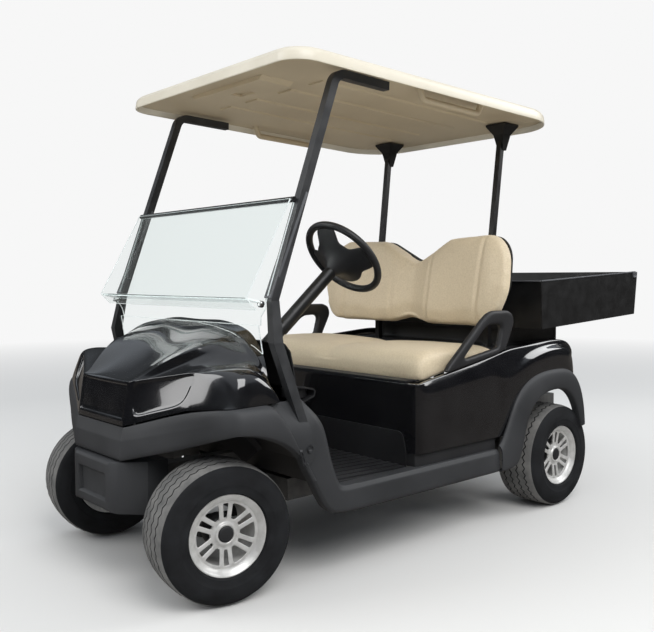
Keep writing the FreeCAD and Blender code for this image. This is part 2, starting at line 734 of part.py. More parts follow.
def lofted_across(stations, thickness):
    """A panel that is the same on both sides of the centre plane."""
    ordered = [(-y, line) for y, line in reversed(stations) if y > 0] + list(stations)
    solids = []
    rings = side_sections(ordered, thickness)
    for first, second in zip(rings, rings[1:]):
        solids.append(Part.makeLoft([first, second], True, True))
    return solids[0].multiFuse(solids[1:]).removeSplitter()


# Everything across the front is drawn for this half width of the gloss shell, and spreads with it
DRAWN_HALF = 560
spread = size("body_half") / DRAWN_HALF

# Seam between the gloss shell and the grey fascia, as (y, x, z)
SEAM = ((0, 1012, 530), (164, 1010, 530), (400, 922, 598), (534, 866, 612), (588, 846, 614))


def seam(y):
    """Point (x, z) of the seam at a station."""
    for (y_low, x_low, z_low), (y_high, x_high, z_high) in zip(SEAM, SEAM[1:]):
        if y <= y_high:
            share = (y - y_low) / (y_high - y_low)
            return x_low + share * (x_high - x_low), z_low + share * (z_high - z_low)
    return SEAM[-1][1:]


# Gloss shell: each station is (y, line from the nose panel's upper edge over the hood to the windscreen)
HOOD = (
    (0, [(990, 670), (968, 662), (812, 756), (656, 828), (612, 840)]),
    (120, [(990, 670), (968, 664), (815, 768), (660, 842), (614, 850)]),
    (164, [(988, 672), (970, 674), (825, 788), (665, 848), (618, 852)]),
    (350, [(898, 704), (876, 716), (820, 782), (676, 822), (632, 826)]),
    (400, [(867, 716), (848, 724), (790, 764), (678, 800), (640, 802)]),
    (480, [(826, 706), (808, 712), (760, 727), (730, 737), (708, 742)]),
    (534, [(830, 656), (810, 672), (764, 682), (734, 687), (708, 690)]),
    (558, [(834, 632), (820, 638), (764, 642), (734, 644), (708, 645)]),
)
hood_stations = []
for y, line in HOOD:
    x, z = seam(y)
    hood_stations.append((y * spread, [(x, z + gap), (x, z + 8)] + line))


def hood_level(x, y):
    """Height of the gloss shell's upper side at a place on it."""
    for (y_low, low), (y_high, high) in zip(HOOD, HOOD[1:]):
        if y <= y_high:
            share = (y - y_low) / (y_high - y_low)
            line = [(a + share * (c - a), b + share * (d - b)) for (a, b), (c, d) in zip(low, high)]
            break
    for (x_ahead, z_ahead), (x_behind, z_behind) in zip(line[1:], line[2:]):
        if x >= x_behind:
            break
    return z_ahead + (x_ahead - x) / (x_ahead - x_behind) * (z_behind - z_ahead)


def hood_blade():
    """Raised blade that sweeps back and outward from the nose panel's upper corner."""
    rings = []
    for x, y, broad, high in ((958, 170, 3, 2), (915, 196, 15, 11), (850, 240, 20, 16), (760, 302, 3, 2)):
        # a section across the blade: its middle, half width and rise
        corners = []
        for across, up in ((-broad, -wall / 2), (broad, -wall / 2), (broad * 0.4, high)):
            px, py = x + across * 0.55, y + across * 0.83
            corners.append(V(px, py * spread, hood_level(px, py) + up))
        rings.append(Part.makePolygon(corners + corners[:1]))
    return Part.makeLoft(rings, True, True)


shell = lofted_across(hood_stations, wall)
blade = hood_blade()
solid("front_body", shell.multiFuse([blade, mirrored(blade)]).removeSplitter())

# Grey fascia: a band across the nose, then the fenders that reach back to the pillar covers
BAND = (
    (0, [(1024, 421), (1022, 482)]),
    (164, [(1024, 421), (1022, 482)]),
    (400, [(926, 489), (925, 541)]),
    (534, [(870, 530), (870, 574)]),
    (588, [(850, 534), (850, 578)]),
)
band_stations = [(y * spread, line + [seam(y)]) for y, line in BAND]

# Seam between a fender and the pillar cover behind it, from the top down, as (x, z)
FENDER_SEAM = [(728, 614), (698, 583), (663, 537), (636, 484), (612, 415), (572, 360)]


def front_fascia():
    """Band and fenders of one moulding, the wheel arches cut through the fenders."""
    band = lofted_across(band_stations, wall)
    arch = Part.makeCylinder(
        size("arch_radius"), 100, V(front_axle_x + size("arch_ahead"), fender_half - 90, axle_z - size("arch_drop")),
        V(0, 1, 0))
    outline = [(848, 345), (848, 612)] + FENDER_SEAM + [(572, 345)]
    inner_y = 534 * spread
    panels = []
    for side in (1, -1):
        skin = sorted((side * (fender_half - wall), side * fender_half))
        ledge = sorted((side * inner_y, side * fender_half))
        panels.append(plate(outline, "XZ", *skin))
        panels.append(plate([(864, 606), (864, 611), (728, 611), (728, 606)], "XZ", *ledge))
    whole = band.multiFuse(panels)
    return whole.cut(Part.makeCompound([arch, mirrored(arch)])).removeSplitter()


solid("front_fascia", front_fascia())


def bumper():
    """Lower nose block: a hollow tray open to the rear with a square recess in its face."""
    face = size("bumper_front_x")
    floor_x = face - size("bumper_recess")
    outer = [(face, -124), (face, 124), (1006, 190, 20), (880, 196), (880, -196), (1006, -190, 20)]
    inner = [(face - wall, -122), (face - wall, 122), (1002, 184, 16), (870, 190), (870, -190), (1002, -184, 16)]
    skin = plate(outer, "XY", 256, 420).cut(plate(inner, "XY", 256 + wall, 421))
    recess = block(floor_x, face + 7, -70, 70, 280, 372)
    pan = block(bumper_back, face - 1, -76, 76, 274, 378)
    arch = Part.makeCylinder(150, 500, V(868, -250, 240), V(0, 1, 0))
    return skin.fuse(pan).cut(recess).cut(arch).removeSplitter()


solid("bumper", bumper())

# Steering column's line, from inside the dash up to the steering wheel
column_run = V(-math.cos(math.radians(size("column_angle"))), 0, math.sin(math.radians(size("column_angle"))))
wheel_middle = V(size("wheel_x"), size("wheel_y"), size("wheel_z"))
column_top = wheel_middle - column_run * (86 + gap)
column_foot = wheel_middle - column_run * 560

# Dash: an upright face behind the windscreen over a shelf with a cup holder at each end
dash_foot = size("toe_top_z") + gap
shelf_z = 632
DASH = [(608, 796), (592, 788), (570, 762), (556, 700), (548, 648), (474, shelf_z + 2), (464, shelf_z - 8),
        (470, 606), (530, dash_foot), (size("toe_top_x"), dash_foot)]


def dash():
    """Moulded dash, a shell open to the front, with a tray in its face and cup holders in its shelf."""
    half = 470
    cup = 38
    shell = plate(thick_line(DASH, wall), "XZ", -half, half)
    tray = block(540, 590, -half + 40, -120, 672, 742)
    made = shell.cut(tray)
    cups = []
    for side in (1, -1):
        middle = V(510, side * (half - 60), 0)
        wall_ring = Part.makeCylinder(cup + wall, 30, middle + V(0, 0, shelf_z - 28))
        bore = Part.makeCylinder(cup, 60, middle + V(0, 0, shelf_z - 23))
        made = made.fuse(wall_ring)
        cups.append(bore)
    made = made.cut(Part.makeCompound(cups))
    return made.cut(rod(column_foot, column_top, size("column_radius") + gap)).removeSplitter()


solid("dash", dash())

# Side panels below the door openings

ROCKER_NOSE = [(556, 328), (515, 258), (484, 236)]
STRUT_FOOT = V(606, size("body_half") + 3, 548)


def rocker(side):
    """Long side panel below the door opening, with the pillar cover that rises to the strut's foot."""
    half = rocker_half
    low = size("rocker_bottom")
    top = size("rocker_top")
    line = [(half - 46, low), (half - 8, low), (half, low + 10), (half - 2, top - 8), (half - 12, top),
            (floor_half + gap, top)]
    sill = plate(thick_line(line, wall), "YZ", size("rocker_rear_x"), size("rocker_front_x"))
    ahead = ROCKER_NOSE + [(484, 200), (700, 200), (700, 328)]
    sill = sill.cut(plate(ahead, "XZ", floor_half - 20, half + 20))
    nose = [(x - gap, z) for x, z in FENDER_SEAM] + ROCKER_NOSE
    door_edge = [(470, 310), (504, 495), (561, 607)]
    cover = plate(nose + [(470, 236)] + door_edge, "XZ", fender_half - wall, fender_half)
    arch = Part.makeCylinder(
        size("arch_radius"), 100, V(front_axle_x + size("arch_ahead"), fender_half - 50, axle_z - size("arch_drop")),
        V(0, 1, 0))
    seat_x = STRUT_FOOT.x
    notch = plate([(seat_x - 20, 545), (seat_x + 20, 545), (seat_x + 60, 640), (seat_x - 10, 640)], "XZ",
                  fender_half - 60, half)
    cover = cover.cut(arch).cut(notch)
    jamb = plate(thick_line(door_edge, wall), "XZ", floor_half + 1, fender_half)
    foot_plate = block(528, 645, floor_half + 12, fender_half - 1, STRUT_FOOT.z - gap - 5, STRUT_FOOT.z - gap)
    made = sill.multiFuse([cover, jamb, foot_plate]).removeSplitter()
    return made if side > 0 else mirrored(made)


solid("rocker_panels", Part.makeCompound([rocker(1), rocker(-1)]))

# Rear body: a tub lofted through three level outlines, cut for the wheels, open above and below


def tub_outline(grow, z):
    """Level outline of the rear body, rounded at the rear corners."""
    half = tub_half + grow
    front = size("tub_front_x")
    rear = size("tub_rear_x") - grow
    corners = [(front, -half), (front, half), (rear, half), (rear, -half)]
    return path([V(a, b, z) for a, b in corners], [24, 24, 70, 70], True)


def tub(grow):
    """The rear body's outer form, or its inside when grow is negative."""
    low = size("tub_bottom")
    levels = ((-4, low - (0 if grow >= 0 else 5)), (4, low + 150), (-12, 760))
    return Part.makeLoft([tub_outline(grow + swell, z) for swell, z in levels], True, True)


# Outer edge of a rear flare, from its front foot over the wheel to its rear tip, and the opening
# inside it, as (x, z, corner radius)
FLARE_EDGE = [(-410, 346, 20), (-500, 508, 100), (-660, 600, 160), (-905, 602, 90), (-1000, 440, 80),
              (-1003, 345, 10)]
FLARE_OPENING = [(-500, 224), (-530, 290, 40), (-556, 390, 60), (-650, 512, 120), (-850, 524, 90),
                 (-935, 430, 80), (-968, 340)]


def flare_form(grow, y_low, y_high):
    """Block inside a rear flare's outer edge, wider by grow."""
    foot_x = size("rocker_rear_x") - gap
    foot = [(foot_x + grow, 225 - grow), (foot_x + grow, 334 + grow)]
    edge = Part.Face(path([V(c[0], y_low, c[1]) for c in foot + FLARE_EDGE],
                          [c[2] if len(c) > 2 else 0 for c in foot + FLARE_EDGE], True))
    if grow:
        edge = Part.Face(edge.OuterWire.makeOffset2D(grow))
    return edge.extrude(V(0, y_high - y_low, 0))


def rear_body():
    """Thin tub with a raked top edge, round wheel cuts, and a haunch over each rear wheel."""
    front = size("tub_front_x")
    rear = size("tub_rear_x")
    inside = tub(-wall).cut(block(front - wall, front + 10, -beyond, beyond, 300, 800))
    shell = tub(0).cut(inside)
    top = size("tub_front_z")
    keep_line = [(front + 10, 300), (front + 10, top), (front - wall, top), (-407, 697), (-440, 706), (-820, 734),
                 (-906, 722), (rear - 20, 610), (rear - 20, 300)]
    shell = shell.common(plate(keep_line, "XZ", -beyond, beyond))
    outer = tub_half + size("haunch_stand")
    crest = [(-486, 500), (-508, 628, 40), (-640, 694, 80), (-800, 712, 60), (-905, 700, 60), (rear + 6, 590, 40),
             (rear + 6, 500)]
    haunch = plate(crest, "XZ", tub_half - 7, outer)
    rim = [edge for edge in haunch.Edges
           if edge.BoundBox.YMin > outer - 0.01 and edge.BoundBox.ZMax > 501]
    haunch = haunch.makeChamfer(size("haunch_stand") - 2, rim)
    haunch = haunch.cut(tub(-wall + 1)).cut(flare_form(0, tub_half - 60, outer + 10))
    shell = shell.multiFuse([haunch, mirrored(haunch)])
    wheel = Part.makeCylinder(size("tub_arch_radius"), 2 * beyond, V(size("rear_axle_x"), -beyond, axle_z),
                              V(0, 1, 0))
    return shell.cut(wheel).removeSplitter()


solid("rear_body", rear_body())


def rear_flare(side):
    """Grey flare round a rear wheel: an arched cap whose outer edge turns in to the body's side."""
    y_low = tub_half + 4 + gap
    cap = flare_form(-gap, y_low, flare_half).cut(flare_form(-gap - wall, y_low - 1, flare_half - wall))
    opening = FLARE_OPENING + [(-968, 150), (-500, 150)]
    tyre_side = (size("rear_track") + size("tyre_width")) / 2
    room = Part.makeCylinder(size("tyre_radius") + 8, 100, V(size("rear_axle_x"), tyre_side - 92, axle_z), V(0, 1, 0))
    made = cap.cut(plate(opening, "XZ", y_low - 2, flare_half + 1)).cut(room).removeSplitter()
    return made if side > 0 else mirrored(made)


solid("rear_flares", Part.makeCompound([rear_flare(1), rear_flare(-1)]))

# Battery pack: one plain block on the rails, under the seat
solid("battery_pack", block(-385, 20, -290, 290, rail_top + gap, 572))


def rear_deck():
    """Flat deck behind the seat that closes the rear body, with holes for the rear posts."""
    made = block(size("tub_rear_x"), -560, -tub_half, tub_half, 690, 696)
    made = made.common(tub(-wall - gap))
    for side in (1, -1):
        hole = size("post_width") / 2 + gap
        post = size("post_foot_x")
        made = made.cut(block(post - hole, post + hole, side * size("post_y") - hole, side * size("post_y") + hole,
                              680, 700))
    barrel_half = size("seat_barrel_half")
    axis = V(size("seat_hinge_x"), 0, size("seat_hinge_z"))
    ear = V(0, barrel_half + gap, 0)
    far = V(0, barrel_half + 14, 0)
    pieces = [rod(axis - far, axis + far, size("seat_pin_radius"))]
    for side in (1, -1):
        pieces.append(rod(axis + ear * side, axis + far * side, 8))
        low, high = sorted((side * ear.y, side * far.y))
        pieces.append(block(-580, axis.x, low, high, axis.z - 8, 690.5))
    return made.multiFuse(pieces).removeSplitter()


solid("rear_deck", rear_deck())

# Seat bottom, hinged at its rear edge

hinge_x = size("seat_hinge_x")
hinge_z = size("seat_hinge_z")
tub_front = size("tub_front_x")
tub_top = size("tub_front_z")
pan_thick = size("seat_pan_wall")
pan_front = (tub_front - 56, tub_top + 2)
pan_rear = (hinge_x + 14, hinge_z + 9)
CUSHION = [(pan_front[0], pan_front[1] + gap, 20), (-62, 747, 40), (-440, 760, 30),
           (pan_rear[0], pan_rear[1] + gap, 10)]


def seat_pan():
    """Black pan under the cushion: it rests on the body's front wall and turns on a barrel at the rear."""
    half = cushion_half - 10
    barrel_half = size("seat_barrel_half")
    under = [pan_front, pan_rear, (pan_rear[0], pan_rear[1] - pan_thick), (pan_front[0], pan_front[1] - pan_thick)]
    slab = plate(under, "XZ", -half, half)
    lip = block(pan_front[0] - 1, tub_front, -half, half, tub_top + gap, tub_top + gap + pan_thick)
    tongue = block(hinge_x, pan_rear[0] + 2, -barrel_half, barrel_half, pan_rear[1] - pan_thick, pan_rear[1] - 1)
    ends = V(0, barrel_half, 0)
    axis = V(hinge_x, 0, hinge_z)
    barrel = rod(axis - ends, axis + ends, size("seat_barrel_radius"))
    bore = rod(axis - ends * 1.1, axis + ends * 1.1, size("seat_pin_radius") + size("running_gap"))
    return slab.multiFuse([lip, tongue, barrel]).cut(bore).removeSplitter()


solid("seat_pan", seat_pan())
solid("seat_cushion", plate(CUSHION, "XZ", -cushion_half, cushion_half))

# Seat back, built upright and leaned back about its lower front edge; (across, up, corner radius)
BACK_SIDE = [(-120, 6, 60), (-500, 10, 80), (-560, 150, 140), (-545, 330, 120), (-470, 392, 90), (-210, 390, 120)]
BACK_SIDE = [(a * spread, b, r) for a, b, r in BACK_SIDE]
BACK = [(0, 34, 60)] + BACK_SIDE + [(0, 286, 70)] + [(-a, b, r) for a, b, r in reversed(BACK_SIDE)]
back_wide = max(a for a, b, r in BACK)
back_high = max(b for a, b, r in BACK)


def leaned(shape):
    """A seat back piece, built with its lower front edge on the origin, leaned and set in place."""
    return moved(shape, V(size("back_foot_x"), 0, size("back_foot_z")), V(0, 1, 0), -size("back_lean"))


def back_layer(grow, near, far):
    """A curved layer of the seat back, wider by grow, between two depths behind its front face."""
    outline = [(a * (1 + grow / back_wide), b * (1 + grow / back_high) - grow, r) for a, b, r in BACK]
    curve = size("back_curve")
    axis = V(curve, 0, -200)
    ring = Part.makeCylinder(curve + far, 800, axis).cut(Part.makeCylinder(curve + near, 800, axis))
    return plate(outline, "YZ", -200, 200).common(ring)


thick = size("back_thick")
solid("seat_back_cushion", leaned(back_layer(0, 0, thick - 26).fuse(back_layer(-26, thick - 26, thick))))


def seat_back_shell():
    """Black shell behind the cushion with the two brackets that bolt it to the posts."""
    near = thick + gap
    skin = leaned(back_layer(-34, near, near + 6))
    curve = size("back_curve")
    ahead = leaned(Part.makeCylinder(curve + near + 4, 800, V(curve, 0, -200)))
    pieces = []
    for side in (1, -1):
        y = side * size("post_y")
        at = size("post_foot_x") + size("post_width") / 2 + gap
        pieces.append(block(at, at + 100, y - 20, y + 20, 860, 900).cut(ahead))
    return skin.multiFuse(pieces).removeSplitter()


solid("seat_back_shell", seat_back_shell())


def bevelled(corners, y_low, y_high, edge):
    """Plate on edge with its rim bevelled on both faces; a negative bevel suits a hole's cutter."""
    middle = V(sum(x for x, z in corners) / len(corners), 0, sum(z for x, z in corners) / len(corners))
    full = [V(x, 0, z) for x, z in corners]
    small = [p - (p - middle).normalize() * edge * 1.3 for p in full]
    rings = []
    for ring, y in ((small, y_low), (full, y_low + abs(edge)), (full, y_high - abs(edge)), (small, y_high)):
        rings.append(Part.makePolygon([p + V(0, y, 0) for p in ring + ring[:1]]))
    return Part.makeLoft(rings, True, True)


def hip_restraint(side):
    """Thick moulded loop that stands on the body's top edge beside the seat."""
    rim_rise = (697 - size("tub_front_z")) / (size("tub_front_x") - wall + 407)
    mid_y = tub_half - 17

    def rim_z(x):
        return size("tub_front_z") + (size("tub_front_x") - wall - x) * rim_rise + 2 * gap

    half = size("restraint_width") / 2
    edge = size("restraint_edge")
    outline = [(-92, 610), (-93, 652), (-112, 676), (-306, 836), (-336, 856), (-370, 867), (-462, 866), (-492, 854),
               (-504, 832), (-504, 804), (-470, 690), (-450, 620)]
    window = [(-190, 690), (-196, 699), (-318, 798), (-345, 810), (-400, 813), (-420, 806), (-426, 788), (-412, 732),
              (-400, 722)]
    seat = [(-60, rim_z(-60)), (-407, rim_z(-407)), (-440, 707), (-520, 715), (-520, 560), (-60, 560)]
    body = bevelled(outline, mid_y - half, mid_y + half, edge)
    body = body.cut(bevelled(window, mid_y - half, mid_y + half, -edge))
    body = body.cut(plate(seat, "XZ", mid_y - 2 * half, mid_y + 2 * half))
    return body if side > 0 else mirrored(body)


solid("hip_restraints", Part.makeCompound([hip_restraint(1), hip_restraint(-1)]))

# Struts and posts of the top


def front_strut(side):
    """Square tube up the cowl's corner and back under the roof, on a wider leg down to the pillar cover."""
    y = side * size("strut_half")
    run = size("strut_top_x") - size("strut_tail_x")
    tail_z = size("strut_top_z") - run * math.tan(math.radians(size("roof_pitch")))
    kink = V(size("strut_kink_x"), side * (size("strut_half") + 5), size("strut_kink_z"))
    points = [kink, V(size("strut_top_x"), y, size("strut_top_z")), V(size("strut_tail_x"), y, tail_z)]
    tube = square_tube(points, 50, size("strut_width"))
    half = size("strut_width") / 2
    leg = []
    for x, out, z, deep in (
        # a section of the leg: its middle, and half its depth
        (kink.x - 4, size("strut_half") + 5, kink.z + 4, half),
        (676, 528, 800, half + 4), (STRUT_FOOT.x, STRUT_FOOT.y, STRUT_FOOT.z, half + 2),
    ):
        ring = [V(x + a * deep, side * out + b * half, z) for a, b in ((1, 1), (-1, 1), (-1, -1), (1, -1))]
        leg.append(Part.makePolygon(ring + [ring[0]]))
    return tube.fuse(Part.makeLoft(leg, True, True)).removeSplitter()


solid("front_struts", Part.makeCompound([front_strut(1), front_strut(-1)]))


def roof_frame(shape):
    """A piece of the roof, built level over the roof's rear edge, pitched and set in place."""
    return moved(shape, V(size("roof_rear_x"), 0, size("roof_lip_z")), V(0, 1, 0), -size("roof_pitch"))


def roof_level(x, height):
    """Height from the ground of a point under the roof."""
    slope = math.tan(math.radians(size("roof_pitch")))
    return size("roof_lip_z") + (x - size("roof_rear_x")) * slope + height / math.cos(math.radians(size("roof_pitch")))


def rear_post(side):
    """Slim square post from the raised rail to a flared foot under the roof."""
    y = side * size("post_y")
    half = size("post_width") / 2
    foot = V(size("post_foot_x"), y, size("rear_rail_top") + gap)
    box_top = V(size("post_foot_x"), y, 960)
    top_z = roof_level(size("post_top_x"), size("liner_height")) - 2.5
    top = V(size("post_top_x"), side * (size("post_y") + 7), top_z)
    tube = square_tube([foot, box_top, top], 60, size("post_width"))
    flare = []
    for grow, z in ((1, top_z - 110), (14, top_z - 45), (38, top_z - 8), (38, top_z)):
        wide = half + grow
        ring = [V(top.x + a * wide, top.y + b * wide, z) for a, b in ((1, 1), (-1, 1), (-1, -1), (1, -1))]
        flare.append(Part.makePolygon(ring + [ring[0]]))
    return tube.fuse(Part.makeLoft(flare, True, True)).removeSplitter()


solid("rear_posts", Part.makeCompound([rear_post(1), rear_post(-1)]))

# Roof: an outer skin lofted through level outlines, and a liner panel inside it
roof_length = size("roof_front_x") - size("roof_rear_x")
ROOF_LEVELS = (
    # height over the lower edge, inset from the edge
    (0, 0), (32, 3), (46, 14), (60, 70), (76, 260),
)


def roof_outline(height, inset):
    """Level outline of the roof, narrower at the front and with round corners."""
    rear = size("roof_half_rear") - inset
    front = size("roof_half_front") - inset
    low = inset
    high = roof_length - inset
    corners = [(low, -rear), (high, -front), (high, front), (low, rear)]
    back_turn = size("roof_rear_corner") - inset / 3
    nose_turn = size("roof_front_corner") + inset / 4
    radii = [back_turn, nose_turn, nose_turn, back_turn]
    return path([V(a, b, height) for a, b in corners], radii, True)


def roof_form(shrink):
    """The roof's outer form, or its inside when shrunk by a wall."""
    rings = [roof_outline(height - (shrink if height else 1), inset + shrink) for height, inset in ROOF_LEVELS]
    return Part.makeLoft(rings, True, True)


outer_roof = Part.makeLoft([roof_outline(height, inset) for height, inset in ROOF_LEVELS], True, True)
solid("roof", roof_frame(outer_roof.cut(roof_form(size("roof_wall"))).removeSplitter()))
liner_low = size("liner_height")
liner = Part.Face(roof_outline(liner_low, size("roof_wall") + 3.4)).extrude(V(0, 0, size("roof_wall")))


def roof_liner():
    """Inner panel with stiffening ribs and a grab handle on each side."""
    pieces = []
    for side in (1, -1):
        for x in (480, 640, 1040, 1200):
            rib = block(x, x + 30, side * 270 - 210, side * 270 + 210, liner_low + size("roof_wall") - 1, liner_low + 16)
            pieces.append(rib)
        y = side * 500
        grip = [V(480, y, liner_low + 2), V(500, y, liner_low - 40), V(820, y, liner_low - 40), V(840, y, liner_low + 2)]
        pieces.append(round_tube(grip, 22, 12))
        # long channels pressed down into the panel, and the pad behind the front edge
        for near, far in ((60, 150), (240, 330)):
            low, high = sorted((side * near, side * far))
            channel = [(low, liner_low + 1), (low + 12, liner_low - 6), (high - 12, liner_low - 6), (high, liner_low + 1)]
            pieces.append(plate(channel, "YZ", 210, 1150))
    pad = plate([(-230, liner_low + 1), (-205, liner_low - 14), (205, liner_low - 14), (230, liner_low + 1)], "YZ",
                1205, 1345)
    pieces.append(pad.cut(block(1240, 1290, -45, 45, liner_low - 20, liner_low - 4)))
    return roof_frame(liner.multiFuse(pieces).removeSplitter())


solid("roof_liner", roof_liner())

# Windscreen: the lower half stands before the struts, the upper half is folded down in front of it


def strut_front(z):
    """Front face of the raked struts at a height."""
    across = size("strut_width") / 2 * math.hypot(1, strut_rake)
    return size("strut_top_x") + (size("strut_top_z") - z) * strut_rake + across


fold_x = strut_front(size("fold_z")) + (size("hinge_radius") + gap) * math.hypot(1, strut_rake)


def windscreen_lower():
    """Clear sheet with a bend at the cowl, narrower below the bend."""
    thick = size("glass_thick")
    top_z = size("fold_z") - size("hinge_radius") - gap - thick * strut_rake
    line = [(strut_front(top_z) + gap, top_z), (strut_front(918) + gap, 918), (strut_front(918) - 8, 850)]
    sheet_form = plate(thick_line(line, thick), "XZ", -size("glass_half"), size("glass_half"))
    half = size("glass_half")
    shape_line = [(-half, 1260), (-half, 905, 10), (-462, 880, 10), (-440, 790), (440, 790), (462, 880, 10),
                  (half, 905, 10), (half, 1260)]
    return sheet_form.common(plate(shape_line, "YZ", 500, 800)).removeSplitter()


solid("windscreen_lower", windscreen_lower())


def windscreen_upper():
    """Clear sheet hanging from the hinge bar, its free edge turned back."""
    thick = size("glass_thick")
    line = [(fold_x + size("hinge_radius") + gap, size("fold_z")), (756, 940), (720, 905)]
    return plate(thick_line(line, thick), "XZ", -size("glass_half"), size("glass_half"))


solid("windscreen_upper", windscreen_upper())
bar_half = size("glass_half") + 6
fold = V(fold_x, 0, size("fold_z"))
solid("windscreen_hinge", rod(fold - V(0, bar_half, 0), fold + V(0, bar_half, 0), size("hinge_radius")))

# Steering wheel and column


def steering_wheel():
    """Grip ring, hub and three spokes."""
    reach = size("wheel_radius")
    grip = size("grip_radius")
    sides = 10
    section = [V(reach + grip * math.cos(math.tau * i / sides), 0, grip * math.sin(math.tau * i / sides))
               for i in range(sides)]
    ring = Part.Face(Part.makePolygon(section + section[:1])).revolve(V(0, 0, 0), V(0, 0, 1), 360)
    profile = [(0, -86), (28, -86), (28, -52), (50, -44), (66, -22), (58, -8), (30, -2), (0, -2)]
    hub_face = Part.Face(Part.makePolygon([V(r, 0, z) for r, z in profile + profile[:1]]))
    pieces = [hub_face.revolve(V(0, 0, 0), V(0, 0, 1), 360)]
    for angle, broad in ((0, 17), (180, 17), (270, 24)):
        # a spoke: wide where it leaves the hub, then lifted to the grip
        plan = [(30, -broad - 14), (reach - 52, -broad), (reach, -broad), (reach, broad), (reach - 52, broad),
                (30, broad + 14)]
        rise = [(30, -32), (reach - 50, -30), (reach - 2, -7), (reach - 2, 6), (reach - 24, 4), (reach - 58, -14),
                (30, -12)]
        spoke = plate(plan, "XY", -60, 60).common(plate(rise, "XZ", -60, 60))
        spoke.rotate(V(0, 0, 0), V(0, 0, 1), angle)
        pieces.append(spoke)
    made = ring.multiFuse(pieces).removeSplitter()
    turn = FreeCAD.Rotation(V(0, 0, 1), column_run)
    level = FreeCAD.Rotation(column_run, 90)
    return made.transformed(FreeCAD.Placement(wheel_middle, level.multiply(turn)).toMatrix(), True)


solid("steering_wheel", steering_wheel())
solid("steering_column", rod(column_foot, column_top, size("column_radius")))


def pedals():
    """Brake and accelerator pedals on their arms."""
    pieces = []
    arm_z = 440
    slope = (size("toe_top_x") - size("floor_front_x")) / (size("toe_top_z") - size("floor_top_front"))
    board_x = size("floor_front_x") + (arm_z - size("floor_top_front")) * slope - gap
    for y, width in ((200, 70), (300, 56)):
        pad = block(500, 512, y - width / 2, y + width / 2, 430, 500)
        arm = block(508, board_x, y - 8, y + 8, arm_z, 456)
        pieces.append(pad.fuse(arm).removeSplitter())
    return Part.makeCompound(pieces)


solid("pedals", pedals())

# Cargo box: floor and three walls of sheet, with a hinged tailgate; the whole box is tilted


def tilted(shape):
    """A piece of the cargo box, built level behind its front lower edge, tilted and set in place."""
    return moved(shape, V(size("box_front_x"), 0, size("box_floor_z")), V(0, 1, 0), size("box_tilt"))


lean_run = size("box_height") * math.tan(math.radians(size("gate_lean")))
box_tail = -(size("box_length") - lean_run)


def cargo_box():
    """Open box of sheet with a rolled rim."""
    half = size("box_half")
    thick = size("box_wall")
    height = size("box_height")
    side_line = [(0, 0), (0, height), (box_tail - lean_run, height), (box_tail, 0)]
    inner_line = [(-thick, thick), (-thick, height + 1), (box_tail - lean_run - 20, height + 1), (box_tail - 20, thick)]
    outer = plate(side_line, "XZ", -half, half)
    return tilted(outer.cut(plate(inner_line, "XZ", -half + thick, half - thick)))



def gate_hinge(x, y):
    """Where a tailgate hinge's axis is, under the box's rear edge."""
    return V(x - 8, y, -size("gate_barrel_radius") - 1)


def gate_hinge_ends():
    """Ears and pins under the box's floor that carry the tailgate's barrels."""
    pieces = []
    half = size("gate_barrel_half")
    radius = size("gate_barrel_radius")
    for side in (1, -1):
        axis = gate_hinge(box_tail, side * size("gate_hinge_y"))
        ends = V(0, half + 14, 0)
        pieces.append(rod(axis - ends, axis + ends, size("gate_pin_radius")))
        for end in (1, -1):
            near = V(0, end * (half + gap), 0)
            pieces.append(rod(axis + near, axis + ends * end, radius))
            low, high = sorted((axis.y + near.y, axis.y + end * (half + 14)))
            pieces.append(block(axis.x, box_tail + 17, low, high, axis.z - radius, axis.z + radius - 1))
            pieces.append(block(box_tail + 5, box_tail + 17, low, high, axis.z, 1))
    return pieces


solid("cargo_box", cargo_box().multiFuse([tilted(piece) for piece in gate_hinge_ends()]).removeSplitter())


def tailgate():
    """Flat gate with a rolled rim, leaning with the box's rear edge."""
    half = size("box_half")
    thick = size("box_wall")
    height = size("box_height")
    lean = math.tan(math.radians(size("gate_lean")))
    line = [(box_tail - gap, 0), (box_tail - gap - height * lean, height),
            (box_tail - gap - height * lean - 16, height), (box_tail - gap - 16, 0)]
    gate = plate(line, "XZ", -half, half)
    pocket_line = [(box_tail - gap - thick - 14 * lean, 14), (box_tail - gap - thick - (height - 14) * lean, height - 14),
                   (box_tail - 80, height - 14), (box_tail - 50, 14)]
    pocket = plate(pocket_line, "XZ", -half + 14, half - 14)
    gate = gate.cut(pocket)
    bores = []
    reach = V(0, size("gate_barrel_half"), 0)
    for side in (1, -1):
        axis = gate_hinge(box_tail, side * size("gate_hinge_y"))
        barrel = rod(axis - reach, axis + reach, size("gate_barrel_radius"))
        tongue = block(axis.x - 5, axis.x + 4, axis.y - reach.y, axis.y + reach.y, axis.z, 1)
        gate = gate.multiFuse([barrel, tongue])
        bores.append(rod(axis - reach * 1.2, axis + reach * 1.2, size("gate_pin_radius") + size("running_gap")))
    return tilted(gate.cut(Part.makeCompound(bores)).removeSplitter())


solid("tailgate", tailgate())


def box_bearers():
    """Two long bearers under the box's floor, on uprights from the raised rails."""
    pieces = []
    for side in (1, -1):
        y = side * size("rear_spring_y")
        bearer = tilted(block(box_tail + 20, -10, y - 20, y + 20, -25 - gap, -gap))
        upright = block(-1090, -1050, y - 20, y + 20, size("rear_rail_top") + gap, 800)
        below = tilted(block(-900, 100, -600, 600, -400, -gap - 10))
        pieces += [bearer, upright.common(below)]
    cross = tilted(block(-360, -320, -size("rear_spring_y"), size("rear_spring_y"), -25 - gap, -gap))
    return cross.multiFuse(pieces).removeSplitter()


solid("box_bearers", box_bearers())

